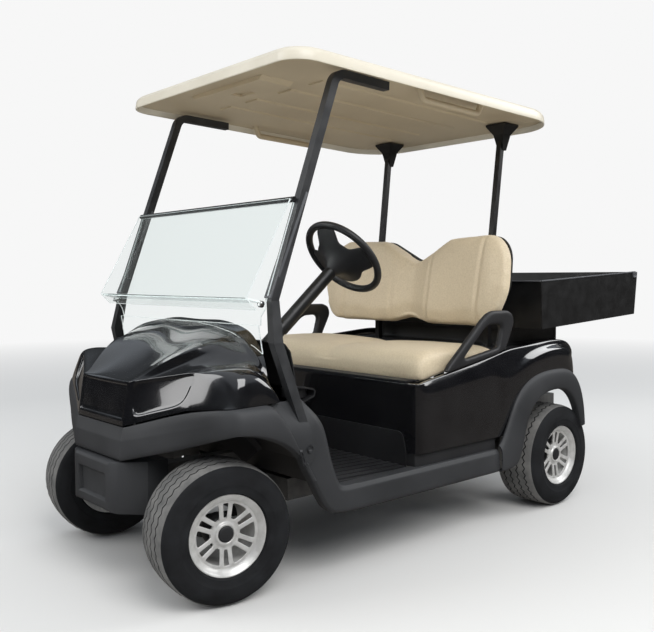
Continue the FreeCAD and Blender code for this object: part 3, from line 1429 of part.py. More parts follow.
# Check every feature, then write each sub-part
doc.recompute()
for obj in doc.Objects:
    if "Invalid" in obj.State or "Error" in obj.State:
        raise RuntimeError("feature failed: " + obj.Name)
for obj in sub_parts:
    if obj.Shape.isNull() or not obj.Shape.isValid():
        raise RuntimeError("bad shape: " + obj.Label)
    if not obj.Shape.Solids:
        raise RuntimeError("no solid: " + obj.Label)
os.makedirs("parts", exist_ok=True)
for obj in sub_parts:
    obj.Shape.exportStep("parts/%s.step" % obj.Label)
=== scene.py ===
"""A two-seat golf cart with a canopy roof and a cargo box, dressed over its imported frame."""

import json
import math

import bmesh
import bpy
from mathutils import Euler, Matrix, Vector


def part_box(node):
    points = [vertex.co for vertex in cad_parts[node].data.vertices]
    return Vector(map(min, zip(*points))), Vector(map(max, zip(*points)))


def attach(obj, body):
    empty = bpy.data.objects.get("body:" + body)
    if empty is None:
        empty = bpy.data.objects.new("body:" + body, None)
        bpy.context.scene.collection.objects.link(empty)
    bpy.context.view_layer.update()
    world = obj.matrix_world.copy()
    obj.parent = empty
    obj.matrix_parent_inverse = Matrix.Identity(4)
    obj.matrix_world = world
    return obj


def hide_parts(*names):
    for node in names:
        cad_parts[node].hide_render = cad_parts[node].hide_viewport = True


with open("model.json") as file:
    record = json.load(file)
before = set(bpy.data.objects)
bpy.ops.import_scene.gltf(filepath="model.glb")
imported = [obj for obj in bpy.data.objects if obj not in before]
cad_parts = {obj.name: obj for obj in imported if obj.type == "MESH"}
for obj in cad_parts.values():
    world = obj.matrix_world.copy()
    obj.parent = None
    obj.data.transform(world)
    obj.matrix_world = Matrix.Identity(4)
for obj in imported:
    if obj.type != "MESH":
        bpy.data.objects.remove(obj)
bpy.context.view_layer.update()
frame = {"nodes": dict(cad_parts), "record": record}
nodes = frame["nodes"]
scene = bpy.context.scene

# Places
# Points are written in millimetres from the wheelbase datum, as the source has them: X forward,
# Y to the driver's left, Z up. They become metres from the ground under the middle of the cart.
FORWARD = 218
GROUND = 10
FRONT_AXLE = 808
REAR_AXLE = -832
AXLE_HEIGHT = 228.5
# Thickness of the moulded panels and of the liners behind them, and how close corners merge, in metres
PANEL_WALL = 0.004
LINER_WALL = 0.003
MERGE = 0.0001


def at(x, y, z):
    """A point of the cart, in metres."""
    return Vector(((x + FORWARD) / 1000, y / 1000, (z - GROUND) / 1000))


# Modelling by hand
def deselect():
    bpy.ops.object.select_all(action="DESELECT")


def only(piece):
    """Make one piece the active and only selected one."""
    deselect()
    piece.select_set(True)
    bpy.context.view_layer.objects.active = piece


def begin(piece):
    """Open a piece for editing."""
    only(piece)
    bpy.ops.object.mode_set(mode="EDIT")


def end():
    """Leave edit mode."""
    bpy.ops.object.mode_set(mode="OBJECT")
    return bpy.context.object


def named(piece, name):
    piece.name = name
    piece.data.name = name
    return piece


def settle(piece):
    """Put a piece's place, turn and size into its mesh."""
    only(piece)
    bpy.ops.object.transform_apply(location=True, rotation=True, scale=True)
    return piece


def pick(rule, kind="VERT"):
    """In edit mode, select the vertices, edges or faces whose middle and normal pass a rule."""
    bpy.ops.mesh.select_mode(type=kind)
    bpy.ops.mesh.select_all(action="DESELECT")
    mesh = bpy.context.object.data
    shape = bmesh.from_edit_mesh(mesh)
    if kind == "VERT":
        for vert in shape.verts:
            vert.select_set(bool(rule(vert.co)))
    elif kind == "EDGE":
        for edge in shape.edges:
            edge.select_set(bool(rule(edge.verts[0].co, edge.verts[1].co)))
    else:
        shape.normal_update()
        for face in shape.faces:
            face.select_set(bool(rule(face.calc_center_median(), face.normal)))
    shape.select_flush_mode()
    bmesh.update_edit_mesh(mesh)


def pick_all():
    bpy.ops.mesh.select_all(action="SELECT")


def primitive(kind, name, **settings):
    """A new primitive with its place in its mesh, open for editing."""
    deselect()
    getattr(bpy.ops.mesh, "primitive_" + kind + "_add")(**settings)
    piece = named(bpy.context.object, name)
    settle(piece)
    bpy.ops.object.mode_set(mode="EDIT")
    bpy.ops.mesh.select_all(action="DESELECT")
    return piece


def first_corner(name, point):
    """A piece that is one point so far, open for editing, with that point selected."""
    piece = primitive("plane", name, size=0.01)
    bpy.ops.mesh.select_mode(type="VERT")
    pick_all()
    bpy.ops.mesh.merge(type="CENTER")
    end()
    begin(piece)
    bpy.ops.mesh.select_mode(type="VERT")
    pick_all()
    bpy.ops.transform.translate(value=Vector(point))
    return piece


def draw_line(points):
    """From the selected point on, draw a line out through the points that follow the first."""
    for here, there in zip(points, points[1:]):
        bpy.ops.mesh.extrude_region_move(TRANSFORM_OT_translate={"value": Vector(there) - Vector(here)})


def skin(name, rows, closed=False, ring=False, caps=False):
    """A sheet through rows of points: each row is drawn as a line, and neighbouring rows are faced.

    closed joins each row's end to its start, ring joins the last row to the first, and caps closes
    the first and the last row with a face."""
    count = len(rows[0])
    piece = first_corner(name, rows[0][0])
    draw_line(rows[0])
    for row in rows[1:]:
        select_corners(piece, [0])
        bpy.ops.mesh.duplicate_move(TRANSFORM_OT_translate={"value": Vector(row[0]) - Vector(rows[0][0])})
        draw_line(row)
    if closed:
        for index in range(len(rows)):
            select_corners(piece, [index * count, index * count + count - 1])
            bpy.ops.mesh.edge_face_add()
    pairs = list(zip(range(len(rows)), range(1, len(rows))))
    if ring:
        pairs.append((len(rows) - 1, 0))
    for low, high in pairs:
        for step in range(count if closed else count - 1):
            after = (step + 1) % count
            select_corners(piece, [low * count + step, low * count + after, high * count + after,
                                   high * count + step])
            bpy.ops.mesh.edge_face_add()
    if caps:
        for first in (0, (len(rows) - 1) * count):
            select_corners(piece, range(first, first + count))
            bpy.ops.mesh.edge_face_add()
    pick_all()
    bpy.ops.mesh.normals_make_consistent(inside=False)
    return piece


def select_corners(piece, indices):
    """In edit mode, select only the vertices with these numbers."""
    bpy.ops.mesh.select_mode(type="VERT")
    bpy.ops.mesh.select_all(action="DESELECT")
    shape = bmesh.from_edit_mesh(piece.data)
    shape.verts.ensure_lookup_table()
    for index in indices:
        shape.verts[index].select_set(True)
    bmesh.update_edit_mesh(piece.data)


def turned(steps, axis=(0, 1, 0), merge=MERGE, **repeat):
    """Spin all of the open piece once round an axis through the origin, and merge what meets."""
    pick_all()
    bpy.ops.mesh.spin(steps=steps, angle=math.tau, center=(0, 0, 0), axis=axis, **repeat)
    pick_all()
    bpy.ops.mesh.remove_doubles(threshold=merge)


def stepped(way, *steps):
    """Inset the selected faces and move them along a way, once for each (inset, move)."""
    for inset, move in steps:
        bpy.ops.mesh.inset(thickness=inset)
        bpy.ops.transform.translate(value=Vector(way) * move)


def modifier(piece, kind, name, **settings):
    """Add a modifier and apply it."""
    only(piece)
    made = piece.modifiers.new(name, kind)
    for word, value in settings.items():
        setattr(made, word, value)
    bpy.ops.object.modifier_apply(modifier=made.name)
    return piece


def subdivided(piece, levels):
    """Round a piece by subdividing it."""
    return modifier(piece, "SUBSURF", "rounding", levels=levels, render_levels=levels)


def walled(piece, thickness, offset=-1):
    """Give a sheet a wall of even thickness, inward unless offset says otherwise."""
    return modifier(piece, "SOLIDIFY", "wall", thickness=thickness, offset=offset, use_even_offset=True)


def bevelled(piece, width, segments=2, angle=30):
    return modifier(piece, "BEVEL", "edges", width=width, segments=segments, limit_method="ANGLE",
                    angle_limit=math.radians(angle), use_clamp_overlap=True)


def smooth(piece, angle=40):
    only(piece)
    bpy.ops.object.shade_smooth_by_angle(angle=math.radians(angle))
    return piece


def mirrored(piece):
    """Complete a piece that was modelled on the driver's side."""
    return modifier(piece, "MIRROR", "other_side", use_axis=(False, True, False), merge_threshold=0.0006)


def copied(piece, name):
    """A copy of a piece with its own mesh."""
    made = piece.copy()
    made.data = piece.data.copy()
    scene.collection.objects.link(made)
    return named(made, name)


def other_hand(piece, name):
    """A mirrored copy of a piece, for the cart's other side."""
    made = copied(piece, name)
    begin(made)
    pick_all()
    bpy.ops.transform.mirror(constraint_axis=(False, True, False), center_override=(0, 0, 0))
    bpy.ops.mesh.flip_normals()
    end()
    return made


def joined(pieces, name):
    """Several objects made one."""
    deselect()
    for piece in pieces:
        piece.select_set(True)
    bpy.context.view_layer.objects.active = pieces[0]
    bpy.ops.object.join()
    return named(bpy.context.object, name)


def node_copy(node, name):
    """A merged copy of a CAD node to work on."""
    made = nodes[node].copy()
    made.data = nodes[node].data.copy()
    for key in list(made.keys()):
        del made[key]
    made.parent = None
    scene.collection.objects.link(made)
    named(made, name)
    begin(made)
    pick_all()
    bpy.ops.mesh.customdata_custom_splitnormals_clear()
    bpy.ops.mesh.remove_doubles(threshold=0.00005)
    bpy.ops.mesh.tris_convert_to_quads(face_threshold=0.03, shape_threshold=0.7)
    return end()


# Finishes
def finish_of(name, colour, roughness, metallic=0.0, coat=0.0, coat_roughness=0.05):
    """A new finish: its material, nodes, links and shader."""
    material = bpy.data.materials.new(name)
    material.use_nodes = True
    tree = material.node_tree
    shader = tree.nodes["Principled BSDF"]
    shader.inputs["Base Color"].default_value = (*colour, 1)
    shader.inputs["Roughness"].default_value = roughness
    shader.inputs["Metallic"].default_value = metallic
    shader.inputs["Coat Weight"].default_value = coat
    shader.inputs["Coat Roughness"].default_value = coat_roughness
    return material, tree, shader


def noise(tree, scale, detail=4, rough=0.5):
    """A noise pattern on the piece's own place."""
    place = tree.nodes.new("ShaderNodeTexCoord")
    pattern = tree.nodes.new("ShaderNodeTexNoise")
    pattern.inputs["Scale"].default_value = scale
    pattern.inputs["Detail"].default_value = detail
    pattern.inputs["Roughness"].default_value = rough
    tree.links.new(place.outputs["Object"], pattern.inputs["Vector"])
    return pattern


def span(tree, source, low, high, from_low=0.3, from_high=0.7):
    """A pattern's value spread between two values."""
    ranged = tree.nodes.new("ShaderNodeMapRange")
    ranged.inputs["From Min"].default_value = from_low
    ranged.inputs["From Max"].default_value = from_high
    ranged.inputs["To Min"].default_value = low
    ranged.inputs["To Max"].default_value = high
    tree.links.new(source, ranged.inputs["Value"])
    return ranged.outputs["Result"]


def shaded(tree, shader, factor, colours, stops=(0.3, 0.7)):
    """Colour that varies between two."""
    ramp = tree.nodes.new("ShaderNodeValToRGB")
    ramp.color_ramp.elements[0].position = stops[0]
    ramp.color_ramp.elements[1].position = stops[1]
    ramp.color_ramp.elements[0].color = (*colours[0], 1)
    ramp.color_ramp.elements[1].color = (*colours[1], 1)
    tree.links.new(factor, ramp.inputs["Fac"])
    tree.links.new(ramp.outputs["Color"], shader.inputs["Base Color"])
    return ramp


def grained(tree, shader, height, strength, distance):
    """Fine relief of a surface."""
    bump = tree.nodes.new("ShaderNodeBump")
    bump.inputs["Strength"].default_value = strength
    bump.inputs["Distance"].default_value = distance
    tree.links.new(height, bump.inputs["Height"])
    tree.links.new(bump.outputs["Normal"], shader.inputs["Normal"])
    return bump


def mixed(tree, first, second, factor):
    """A mixture of two values."""
    mixer = tree.nodes.new("ShaderNodeMix")
    mixer.inputs[0].default_value = factor
    tree.links.new(first, mixer.inputs[2])
    tree.links.new(second, mixer.inputs[3])
    return mixer.outputs[0]


def cells(tree, scale):
    """A pattern of small cells, as of leather grain."""
    place = tree.nodes.new("ShaderNodeTexCoord")
    pattern = tree.nodes.new("ShaderNodeTexVoronoi")
    pattern.inputs["Scale"].default_value = scale
    tree.links.new(place.outputs["Object"], pattern.inputs["Vector"])
    return pattern


def gloss_paint():
    """Black paint with a clear coat, a little dusty."""
    material, tree, shader = finish_of("gloss_black_paint", (0.006, 0.006, 0.007), 0.12, coat=1.0,
                                       coat_roughness=0.03)
    dust = noise(tree, 9, 6)
    shaded(tree, shader, dust.outputs["Fac"], ((0.004, 0.004, 0.005), (0.010, 0.010, 0.011)))
    tree.links.new(span(tree, dust.outputs["Fac"], 0.07, 0.16), shader.inputs["Roughness"])
    peel = noise(tree, 130, 2)
    grained(tree, shader, peel.outputs["Fac"], 0.03, 0.0006)
    return material


def moulded_grey(name, colour, light, grain=900, rough=(0.5, 0.66)):
    """Grained plastic that has chalked a little."""
    material, tree, shader = finish_of(name, colour, 0.58)
    chalk = noise(tree, 3.5, 7)
    shaded(tree, shader, chalk.outputs["Fac"], (colour, light), (0.35, 0.72))
    tree.links.new(span(tree, chalk.outputs["Fac"], rough[0], rough[1]), shader.inputs["Roughness"])
    leather = cells(tree, grain)
    fine = noise(tree, grain * 1.6, 3)
    grained(tree, shader, mixed(tree, leather.outputs["Distance"], fine.outputs["Fac"], 0.4), 0.22, 0.0004)
    return material


def tan_vinyl():
    """Leather-grained seat vinyl."""
    material, tree, shader = finish_of("tan_vinyl", (0.60, 0.47, 0.30), 0.5)
    shader.inputs["Sheen Weight"].default_value = 0.15
    shader.inputs["Sheen Roughness"].default_value = 0.4
    blotch = noise(tree, 150, 5, rough=0.7)
    shaded(tree, shader, blotch.outputs["Fac"], ((0.56, 0.455, 0.305), (0.72, 0.61, 0.435)), (0.28, 0.74))
    tree.links.new(span(tree, blotch.outputs["Fac"], 0.44, 0.58), shader.inputs["Roughness"])
    leather = cells(tree, 520)
    fold = noise(tree, 26, 4)
    grained(tree, shader, mixed(tree, leather.outputs["Distance"], fold.outputs["Fac"], 0.5), 0.3, 0.0010)
    return material


def rubber(name, dark, light, grain):
    """Dusty tyre rubber."""
    material, tree, shader = finish_of(name, dark, 0.78)
    shader.inputs["Specular IOR Level"].default_value = 0.22
    dust = noise(tree, 14, 8, rough=0.65)
    shaded(tree, shader, dust.outputs["Fac"], (dark, light), (0.3, 0.75))
    tree.links.new(span(tree, dust.outputs["Fac"], 0.68, 0.9), shader.inputs["Roughness"])
    fine = noise(tree, grain, 4, rough=0.7)
    grained(tree, shader, fine.outputs["Fac"], 0.35, 0.0012)
    return material


def silver_casting():
    """Painted cast aluminium."""
    material, tree, shader = finish_of("silver_casting", (0.78, 0.77, 0.75), 0.36, metallic=0.35, coat=0.35,
                                       coat_roughness=0.15)
    film = noise(tree, 40, 6)
    shaded(tree, shader, film.outputs["Fac"], ((0.50, 0.49, 0.47), (0.66, 0.65, 0.63)), (0.25, 0.6))
    tree.links.new(span(tree, film.outputs["Fac"], 0.30, 0.46), shader.inputs["Roughness"])
    flake = noise(tree, 1500, 2)
    grained(tree, shader, flake.outputs["Fac"], 0.08, 0.0003)
    return material


def steel_paint(name, colour, light, rough=(0.34, 0.5), metallic=0.0):
    """Powder-coated or bare metal."""
    material, tree, shader = finish_of(name, colour, 0.42, metallic=metallic)
    dust = noise(tree, 18, 6)
    shaded(tree, shader, dust.outputs["Fac"], (colour, light), (0.35, 0.75))
    tree.links.new(span(tree, dust.outputs["Fac"], rough[0], rough[1]), shader.inputs["Roughness"])
    powder = noise(tree, 700, 3)
    grained(tree, shader, powder.outputs["Fac"], 0.12, 0.0004)
    return material


def roof_plastic(name, colour, light, roughness):
    """Thermoformed sheet of the roof and its liner, slightly stained."""
    material, tree, shader = finish_of(name, colour, roughness)
    stain = noise(tree, 4, 7)
    shaded(tree, shader, stain.outputs["Fac"], (colour, light), (0.3, 0.72))
    dulled = span(tree, stain.outputs["Fac"], roughness - 0.06, roughness + 0.08)
    tree.links.new(dulled, shader.inputs["Roughness"])
    fine = noise(tree, 420, 3)
    grained(tree, shader, fine.outputs["Fac"], 0.1, 0.0006)
    return material


def acrylic():
    """Clear sheet with a slight haze."""
    material, tree, shader = finish_of("clear_acrylic", (0.93, 0.96, 0.955), 0.03)
    shader.inputs["Transmission Weight"].default_value = 1.0
    shader.inputs["IOR"].default_value = 1.12
    haze = noise(tree, 6, 8, rough=0.7)
    tree.links.new(span(tree, haze.outputs["Fac"], 0.0, 0.05), shader.inputs["Roughness"])
    return material


def painted_glow_edge():
    """The sawn edge of acrylic sheet, with a painted glow (a weak emission) standing in for the light it
    gathers.
    """
    material, tree, shader = finish_of("acrylic_edge_painted_glow", (0.80, 0.84, 0.84), 0.22)
    shader.inputs["Transmission Weight"].default_value = 0.35
    shader.inputs["IOR"].default_value = 1.3
    # painted glow: the edge emits a little light of its own in place of the light the sheet would gather
    shader.inputs["Emission Color"].default_value = (0.85, 0.95, 0.93, 1)
    shader.inputs["Emission Strength"].default_value = 0.25
    saw = noise(tree, 300, 3)
    tree.links.new(span(tree, saw.outputs["Fac"], 0.15, 0.35), shader.inputs["Roughness"])
    return material


FINISH = {
    "gloss": gloss_paint(),
    "grey": moulded_grey("grained_grey", (0.023, 0.024, 0.026), (0.040, 0.041, 0.044)),
    "plastic": moulded_grey("grained_black", (0.012, 0.012, 0.013), (0.022, 0.022, 0.024), rough=(0.42, 0.6)),
    "vinyl": tan_vinyl(),
    "side_wall": rubber("rubber_side_wall", (0.008, 0.008, 0.009), (0.019, 0.020, 0.022), 500),
    "tread": rubber("rubber_tread", (0.095, 0.095, 0.093), (0.215, 0.208, 0.198), 420),
    "silver": silver_casting(),
    "strut": steel_paint("satin_grey_steel", (0.022, 0.0225, 0.024), (0.036, 0.037, 0.039)),
    "steel": steel_paint("satin_black_steel", (0.007, 0.007, 0.0072), (0.0105, 0.0105, 0.0108)),
    "chassis": steel_paint("dull_frame_metal", (0.13, 0.13, 0.13), (0.24, 0.235, 0.225), (0.45, 0.62), 0.7),
    "forged": steel_paint("forged_black", (0.016, 0.016, 0.017), (0.038, 0.036, 0.034), (0.5, 0.68)),
    "sleeve": steel_paint("grey_sleeve", (0.070, 0.072, 0.078), (0.100, 0.103, 0.110), (0.4, 0.55)),
    "chrome": steel_paint("bright_screw", (0.62, 0.62, 0.62), (0.75, 0.75, 0.75), (0.12, 0.2), 1.0),
    "roof": roof_plastic("cream_roof", (0.66, 0.61, 0.50), (0.73, 0.68, 0.57), 0.34),
    "liner": roof_plastic("tan_liner", (0.43, 0.345, 0.225), (0.50, 0.41, 0.275), 0.5),
    "acrylic": acrylic(),
    # the sawn acrylic edges carry a painted glow
    "edge": painted_glow_edge(),
}

# The finish that each slot of the record has
SLOT_FINISH = {
    "tyre_rubber": "side_wall", "rim_silver": "silver", "gloss_black": "gloss", "grey_trim": "grey",
    "black_plastic": "plastic", "tan_vinyl": "vinyl", "clear_acrylic": "acrylic", "black_steel": "steel",
    "roof_cream": "roof", "liner_tan": "liner", "battery_case": "plastic", "frame_metal": "chassis",
    "forged_steel": "forged",
}
NODE_FINISH = {row["node"]: SLOT_FINISH[row["material_slot"]] for row in frame["record"]["subparts"]}
NODE_FINISH["front_struts"] = "strut"


def painted(piece, *finishes):
    """Give a piece its finishes, of which the first covers all of it."""
    piece.data.materials.clear()
    for finish in finishes:
        piece.data.materials.append(FINISH[finish])
    return piece


for node, thing in nodes.items():
    painted(thing, NODE_FINISH[node])


def paint_picked(piece):
    """Give the selected faces the piece's second finish."""
    piece.active_material_index = 1
    bpy.ops.object.material_slot_assign()


def finished(piece, finish, body, replaces=()):
    """Give a piece its finish and the body it rides on, and hide the CAD nodes it stands for."""
    if finish:
        painted(piece, finish)
    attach(piece, body)
    if replaces:
        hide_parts(*replaces)
    return piece


# Width of the softened edges on the CAD nodes that stay in view, in metres
EDGES = {
    "roof": 0.006, "roof_liner": 0.003, "front_struts": 0.003, "rear_posts": 0.003, "frame": 0.003,
    "front_axle": 0.002, "knuckle_left": 0.0015, "knuckle_right": 0.0015, "seat_pan": 0.0015, "dash": 0.0018,
    "floor_pan": 0.0015, "rear_deck": 0.002, "box_bearers": 0.002, "cargo_box": 0.0012,
    "tailgate": 0.002, "battery_pack": 0.004, "seat_back_shell": 0.002, "pedals": 0.002,
    "front_springs": 0.0015, "rear_springs": 0.0015, "rear_axle": 0.002,
}
for node, width in EDGES.items():
    weld = nodes[node].modifiers.new("weld", "WELD")
    weld.merge_threshold = 0.00004
    soft = nodes[node].modifiers.new("edges", "BEVEL")
    soft.width = width
    soft.segments = 2
    soft.limit_method = "ANGLE"
    soft.angle_limit = math.radians(34)


# Moulded panels
def sheet(name, table):
    """A sheet through a table of points in datum millimetres, one line of the table after another."""
    return skin(name, [[at(*point) for point in line] for line in table])


def crease_run(piece, indices, amount):
    """Crease the edges that join corners of a sheet one after another."""
    bpy.ops.mesh.select_mode(type="EDGE")
    bpy.ops.mesh.select_all(action="DESELECT")
    shape = bmesh.from_edit_mesh(piece.data)
    shape.verts.ensure_lookup_table()
    for first, second in zip(indices, indices[1:]):
        edge = shape.edges.get((shape.verts[first], shape.verts[second]))
        edge.select_set(True)
    bmesh.update_edit_mesh(piece.data)
    bpy.ops.transform.edge_crease(value=amount)


def crease_across(piece, count, place, lines, amount):
    """Crease a sheet from line to line at one place along them."""
    crease_run(piece, [line * count + place for line in lines], amount)


def crease_along(piece, count, line, places, amount):
    """Crease one line of a sheet between its places."""
    crease_run(piece, [line * count + place for place in places], amount)


def pick_patch(piece, count, lines, places):
    """Select a sheet's faces between two of its lines and two places along them."""
    bpy.ops.mesh.select_mode(type="FACE")
    bpy.ops.mesh.select_all(action="DESELECT")
    shape = bmesh.from_edit_mesh(piece.data)
    wanted = {line * count + place for line in range(lines[0], lines[1] + 1)
              for place in range(places[0], places[1] + 1)}
    for face in shape.faces:
        face.select_set(all(vert.index in wanted for vert in face.verts))
    bmesh.update_edit_mesh(piece.data)


def faced(piece, inside):
    """Turn an open sheet's normals away from a point inside the cart."""
    pick_all()
    bpy.ops.mesh.normals_make_consistent(inside=False)
    shape = bmesh.from_edit_mesh(piece.data)
    shape.normal_update()
    if sum(face.normal.dot(face.calc_center_median() - inside) * face.calc_area()
           for face in shape.faces) < 0:
        bpy.ops.mesh.flip_normals()


def moulded(piece):
    """Round a sheet, give it the panels' wall and shade it."""
    subdivided(piece, 3)
    walled(piece, PANEL_WALL)
    return smooth(piece, 50)


# Gloss hood, driver's half: each line runs from the seam over the nose's upper edge to the cowl
HOOD_LINES = (
    # middle of the cart
    ((1012, 0, 533), (1010, 0, 547), (992, 0, 656), (990, 0, 670), (968, 0, 664), (918, 0, 688),
     (865, 0, 721), (812, 0, 757), (765, 0, 784), (722, 0, 806), (676, 0, 829), (662, 0, 846),
     (614, 0, 852)),
    ((1012, 90, 533), (1010, 90, 547), (992, 90, 656), (990, 90, 670), (968, 90, 664), (918, 92, 689),
     (866, 96, 723), (813, 98, 762), (766, 100, 790), (722, 98, 812), (677, 92, 834), (663, 91, 849),
     (615, 90, 855)),
    # floor of the hollow beside the blade
    ((1011, 150, 533), (1009, 150, 547), (991, 150, 656), (989, 152, 671), (970, 146, 667),
     (920, 150, 694), (868, 164, 730), (815, 172, 768), (768, 176, 796), (724, 172, 817), (681, 164, 837),
     (667, 163, 851), (618, 162, 857)),
    # blade's crest
    ((1010, 164, 533), (1008, 164, 547), (990, 164, 657), (987, 166, 673), (971, 164, 674),
     (918, 202, 716), (872, 237, 747), (822, 269, 772), (780, 293, 789), (738, 300, 803), (690, 296, 817),
     (676, 295, 831), (628, 294, 838)),
    # blade's foot
    ((1004, 178, 537), (1002, 178, 551), (983, 178, 661), (981, 179, 676), (966, 178, 669),
     (906, 218, 693), (853, 250, 719), (806, 284, 746), (771, 312, 763), (745, 336, 777), (694, 347, 798),
     (681, 349, 812), (636, 350, 819)),
    # step behind the blade, and its foot
    ((980, 240, 556), (978, 241, 570), (954, 240, 672), (951, 240, 688), (938, 241, 680), (890, 262, 700),
     (840, 291, 717), (800, 322, 731), (768, 348, 747), (736, 366, 768), (700, 388, 780), (688, 392, 793),
     (647, 393, 797)),
    ((950, 320, 579), (948, 321, 593), (917, 320, 688), (914, 320, 702), (901, 322, 697), (865, 333, 707),
     (828, 352, 715), (793, 378, 721), (762, 400, 725), (736, 417, 733), (709, 436, 757), (698, 438, 770),
     (668, 440, 773)),
    # side panel's rear edge, then the inner side of the fender's top
    ((922, 400, 601), (920, 401, 614), (883, 399, 704), (879, 397, 717), (867, 403, 714), (843, 415, 719),
     (812, 427, 724), (782, 440, 728), (754, 452, 730), (730, 463, 732), (707, 477, 736), (699, 479, 744),
     (681, 480, 747)),
    ((906, 440, 606), (903, 441, 620), (878, 441, 692), (863, 444, 715), (853, 460, 722), (832, 484, 729),
     (806, 499, 732), (776, 505, 732), (748, 507, 727), (722, 508, 712), (704, 508, 690), (693, 508, 665),
     (687, 508, 640)),
    ((889, 485, 611), (885, 489, 625), (866, 495, 668), (850, 508, 692), (842, 520, 702), (824, 536, 708),
     (800, 544, 710), (772, 547, 708), (746, 548, 700), (720, 549, 684), (703, 549, 664), (691, 549, 648),
     (685, 549, 632)),
    ((876, 513, 614), (872, 517, 623), (857, 528, 646), (846, 538, 656), (838, 545, 662), (821, 553, 666),
     (797, 557, 668), (768, 559, 668), (742, 559, 662), (717, 558, 652), (699, 557, 642), (688, 556, 634),
     (684, 555, 627)),
    ((866, 534, 616), (862, 539, 616), (855, 547, 616), (846, 553, 617), (838, 556, 618), (820, 559, 619),
     (796, 560, 619), (768, 560, 619), (742, 560, 619), (716, 560, 620), (697, 559, 620), (687, 558, 620),
     (683, 556, 620)),
)


def hood():
    """Gloss hood with its blades and swept steps, the nose panel and the blank panels beside it."""
    count = len(HOOD_LINES[0])
    piece = sheet("hood_and_nose", HOOD_LINES)
    faced(piece, at(700, 0, 500))
    for place, amount in ((3, 0.9), (10, 0.8), (11, 0.6)):
        crease_across(piece, count, place, range(8), amount)
    for line, places, amount in ((3, range(4), 0.9), (7, range(4), 0.7), (3, range(3, 9), 0.85),
                                 (4, range(3, 9), 0.8), (5, range(6, 10), 0.55), (6, range(6, 10), 0.45)):
        crease_along(piece, count, line, places, amount)
    # the nose panel's frame, then the frame of the blank panel beside it
    for lines in ((0, 3), (3, 7)):
        pick_patch(piece, count, lines, (1, 3))
        bpy.ops.mesh.inset(thickness=0.007, depth=0, use_boundary=False, use_even_offset=True)
        bpy.ops.mesh.inset(thickness=0.004, depth=-0.005, use_boundary=False, use_even_offset=True)
        bpy.ops.mesh.region_to_loop()
        bpy.ops.transform.edge_crease(value=0.7)
    end()
    moulded(mirrored(piece))
    return finished(piece, "gloss", "chassis", ["front_body"])


hood()

# Grey fascia, driver's half: each line runs from under the gloss shell down the face to the arch
FASCIA_LINES = (
    # the band across the nose
    ((1000, 0, 528), (1009, 0, 528), (1014, 0, 514), (1024, 0, 487), (1025, 0, 455), (1025, 0, 432),
     (1021, 0, 423), (1000, 0, 421)),
    ((1000, 150, 528), (1008, 150, 528), (1013, 150, 514), (1023, 150, 487), (1025, 150, 455),
     (1025, 150, 432), (1021, 150, 423), (1000, 150, 421)),
    ((999, 160, 528), (1010, 164, 528), (1015, 166, 510), (1021, 168, 487), (1023, 168, 455),
     (1023, 168, 432), (1019, 167, 423), (999, 160, 421)),
    ((996, 164, 530), (1006, 174, 530), (1011, 177, 513), (1016, 180, 489), (1018, 180, 458),
     (1018, 180, 434), (1013, 178, 426), (996, 164, 424)),
    ((962, 240, 552), (976, 250, 552), (984, 253, 534), (990, 256, 507), (992, 256, 480), (991, 256, 454),
     (985, 254, 446), (966, 240, 444)),
    ((934, 322, 576), (950, 331, 575), (956, 334, 555), (960, 336, 526), (961, 337, 502), (960, 337, 475),
     (954, 334, 467), (936, 322, 465)),
    ((904, 392, 594), (922, 402, 594), (928, 405, 574), (931, 407, 543), (931, 408, 520), (930, 408, 495),
     (924, 405, 487), (906, 392, 486)),
    ((884, 445, 603), (903, 455, 603), (909, 458, 587), (911, 461, 557), (911, 462, 535), (909, 462, 512),
     (903, 459, 504), (886, 446, 503)),
    ((866, 494, 610), (884, 503, 610), (890, 507, 597), (892, 510, 571), (891, 512, 550), (889, 512, 529),
     (883, 509, 520), (868, 496, 518)),
    # around the corner on to the fender
    ((850, 530, 612), (862, 544, 613), (868, 552, 604), (871, 558, 583), (871, 561, 564), (868, 562, 545),
     (862, 559, 535), (852, 540, 531)),
    ((836, 540, 614), (842, 560, 616), (844, 573, 609), (846, 581, 592), (846, 586, 571), (846, 586, 552),
     (846, 581, 540), (842, 556, 534)),
    ((808, 542, 614), (810, 562, 617), (810, 578, 612), (811, 589, 598), (812, 594, 576), (814, 594, 552),
     (815, 589, 538), (815, 562, 531)),
    ((766, 542, 614), (766, 562, 618), (766, 580, 613), (767, 591, 599), (768, 597, 574), (770, 597, 546),
     (771, 591, 530), (772, 562, 523)),
    ((722, 542, 614), (722, 562, 618), (722, 581, 611), (723, 592, 596), (725, 598, 567), (728, 598, 534),
     (730, 592, 516), (732, 562, 509)),
    ((700, 560, 586), (704, 576, 591), (704, 586, 586), (701, 593, 576), (697, 598, 554), (693, 598, 521),
     (690, 592, 498), (692, 562, 492)),
    ((668, 566, 540), (672, 582, 544), (671, 589, 539), (669, 594, 531), (665, 597, 514), (658, 597, 490),
     (653, 592, 473), (655, 562, 467)),
    ((642, 566, 490), (645, 583, 493), (644, 589, 489), (642, 593, 482), (636, 595, 470), (627, 595, 453),
     (621, 591, 441), (622, 562, 436)),
    ((616, 566, 426), (619, 583, 428), (618, 588, 425), (615, 591, 421), (609, 592, 415), (600, 592, 408),
     (594, 589, 402), (592, 562, 400)),
    ((578, 566, 366), (580, 582, 367), (579, 586, 366), (577, 588, 365), (574, 589, 363), (571, 589, 362),
     (568, 587, 361), (567, 562, 361)),
)


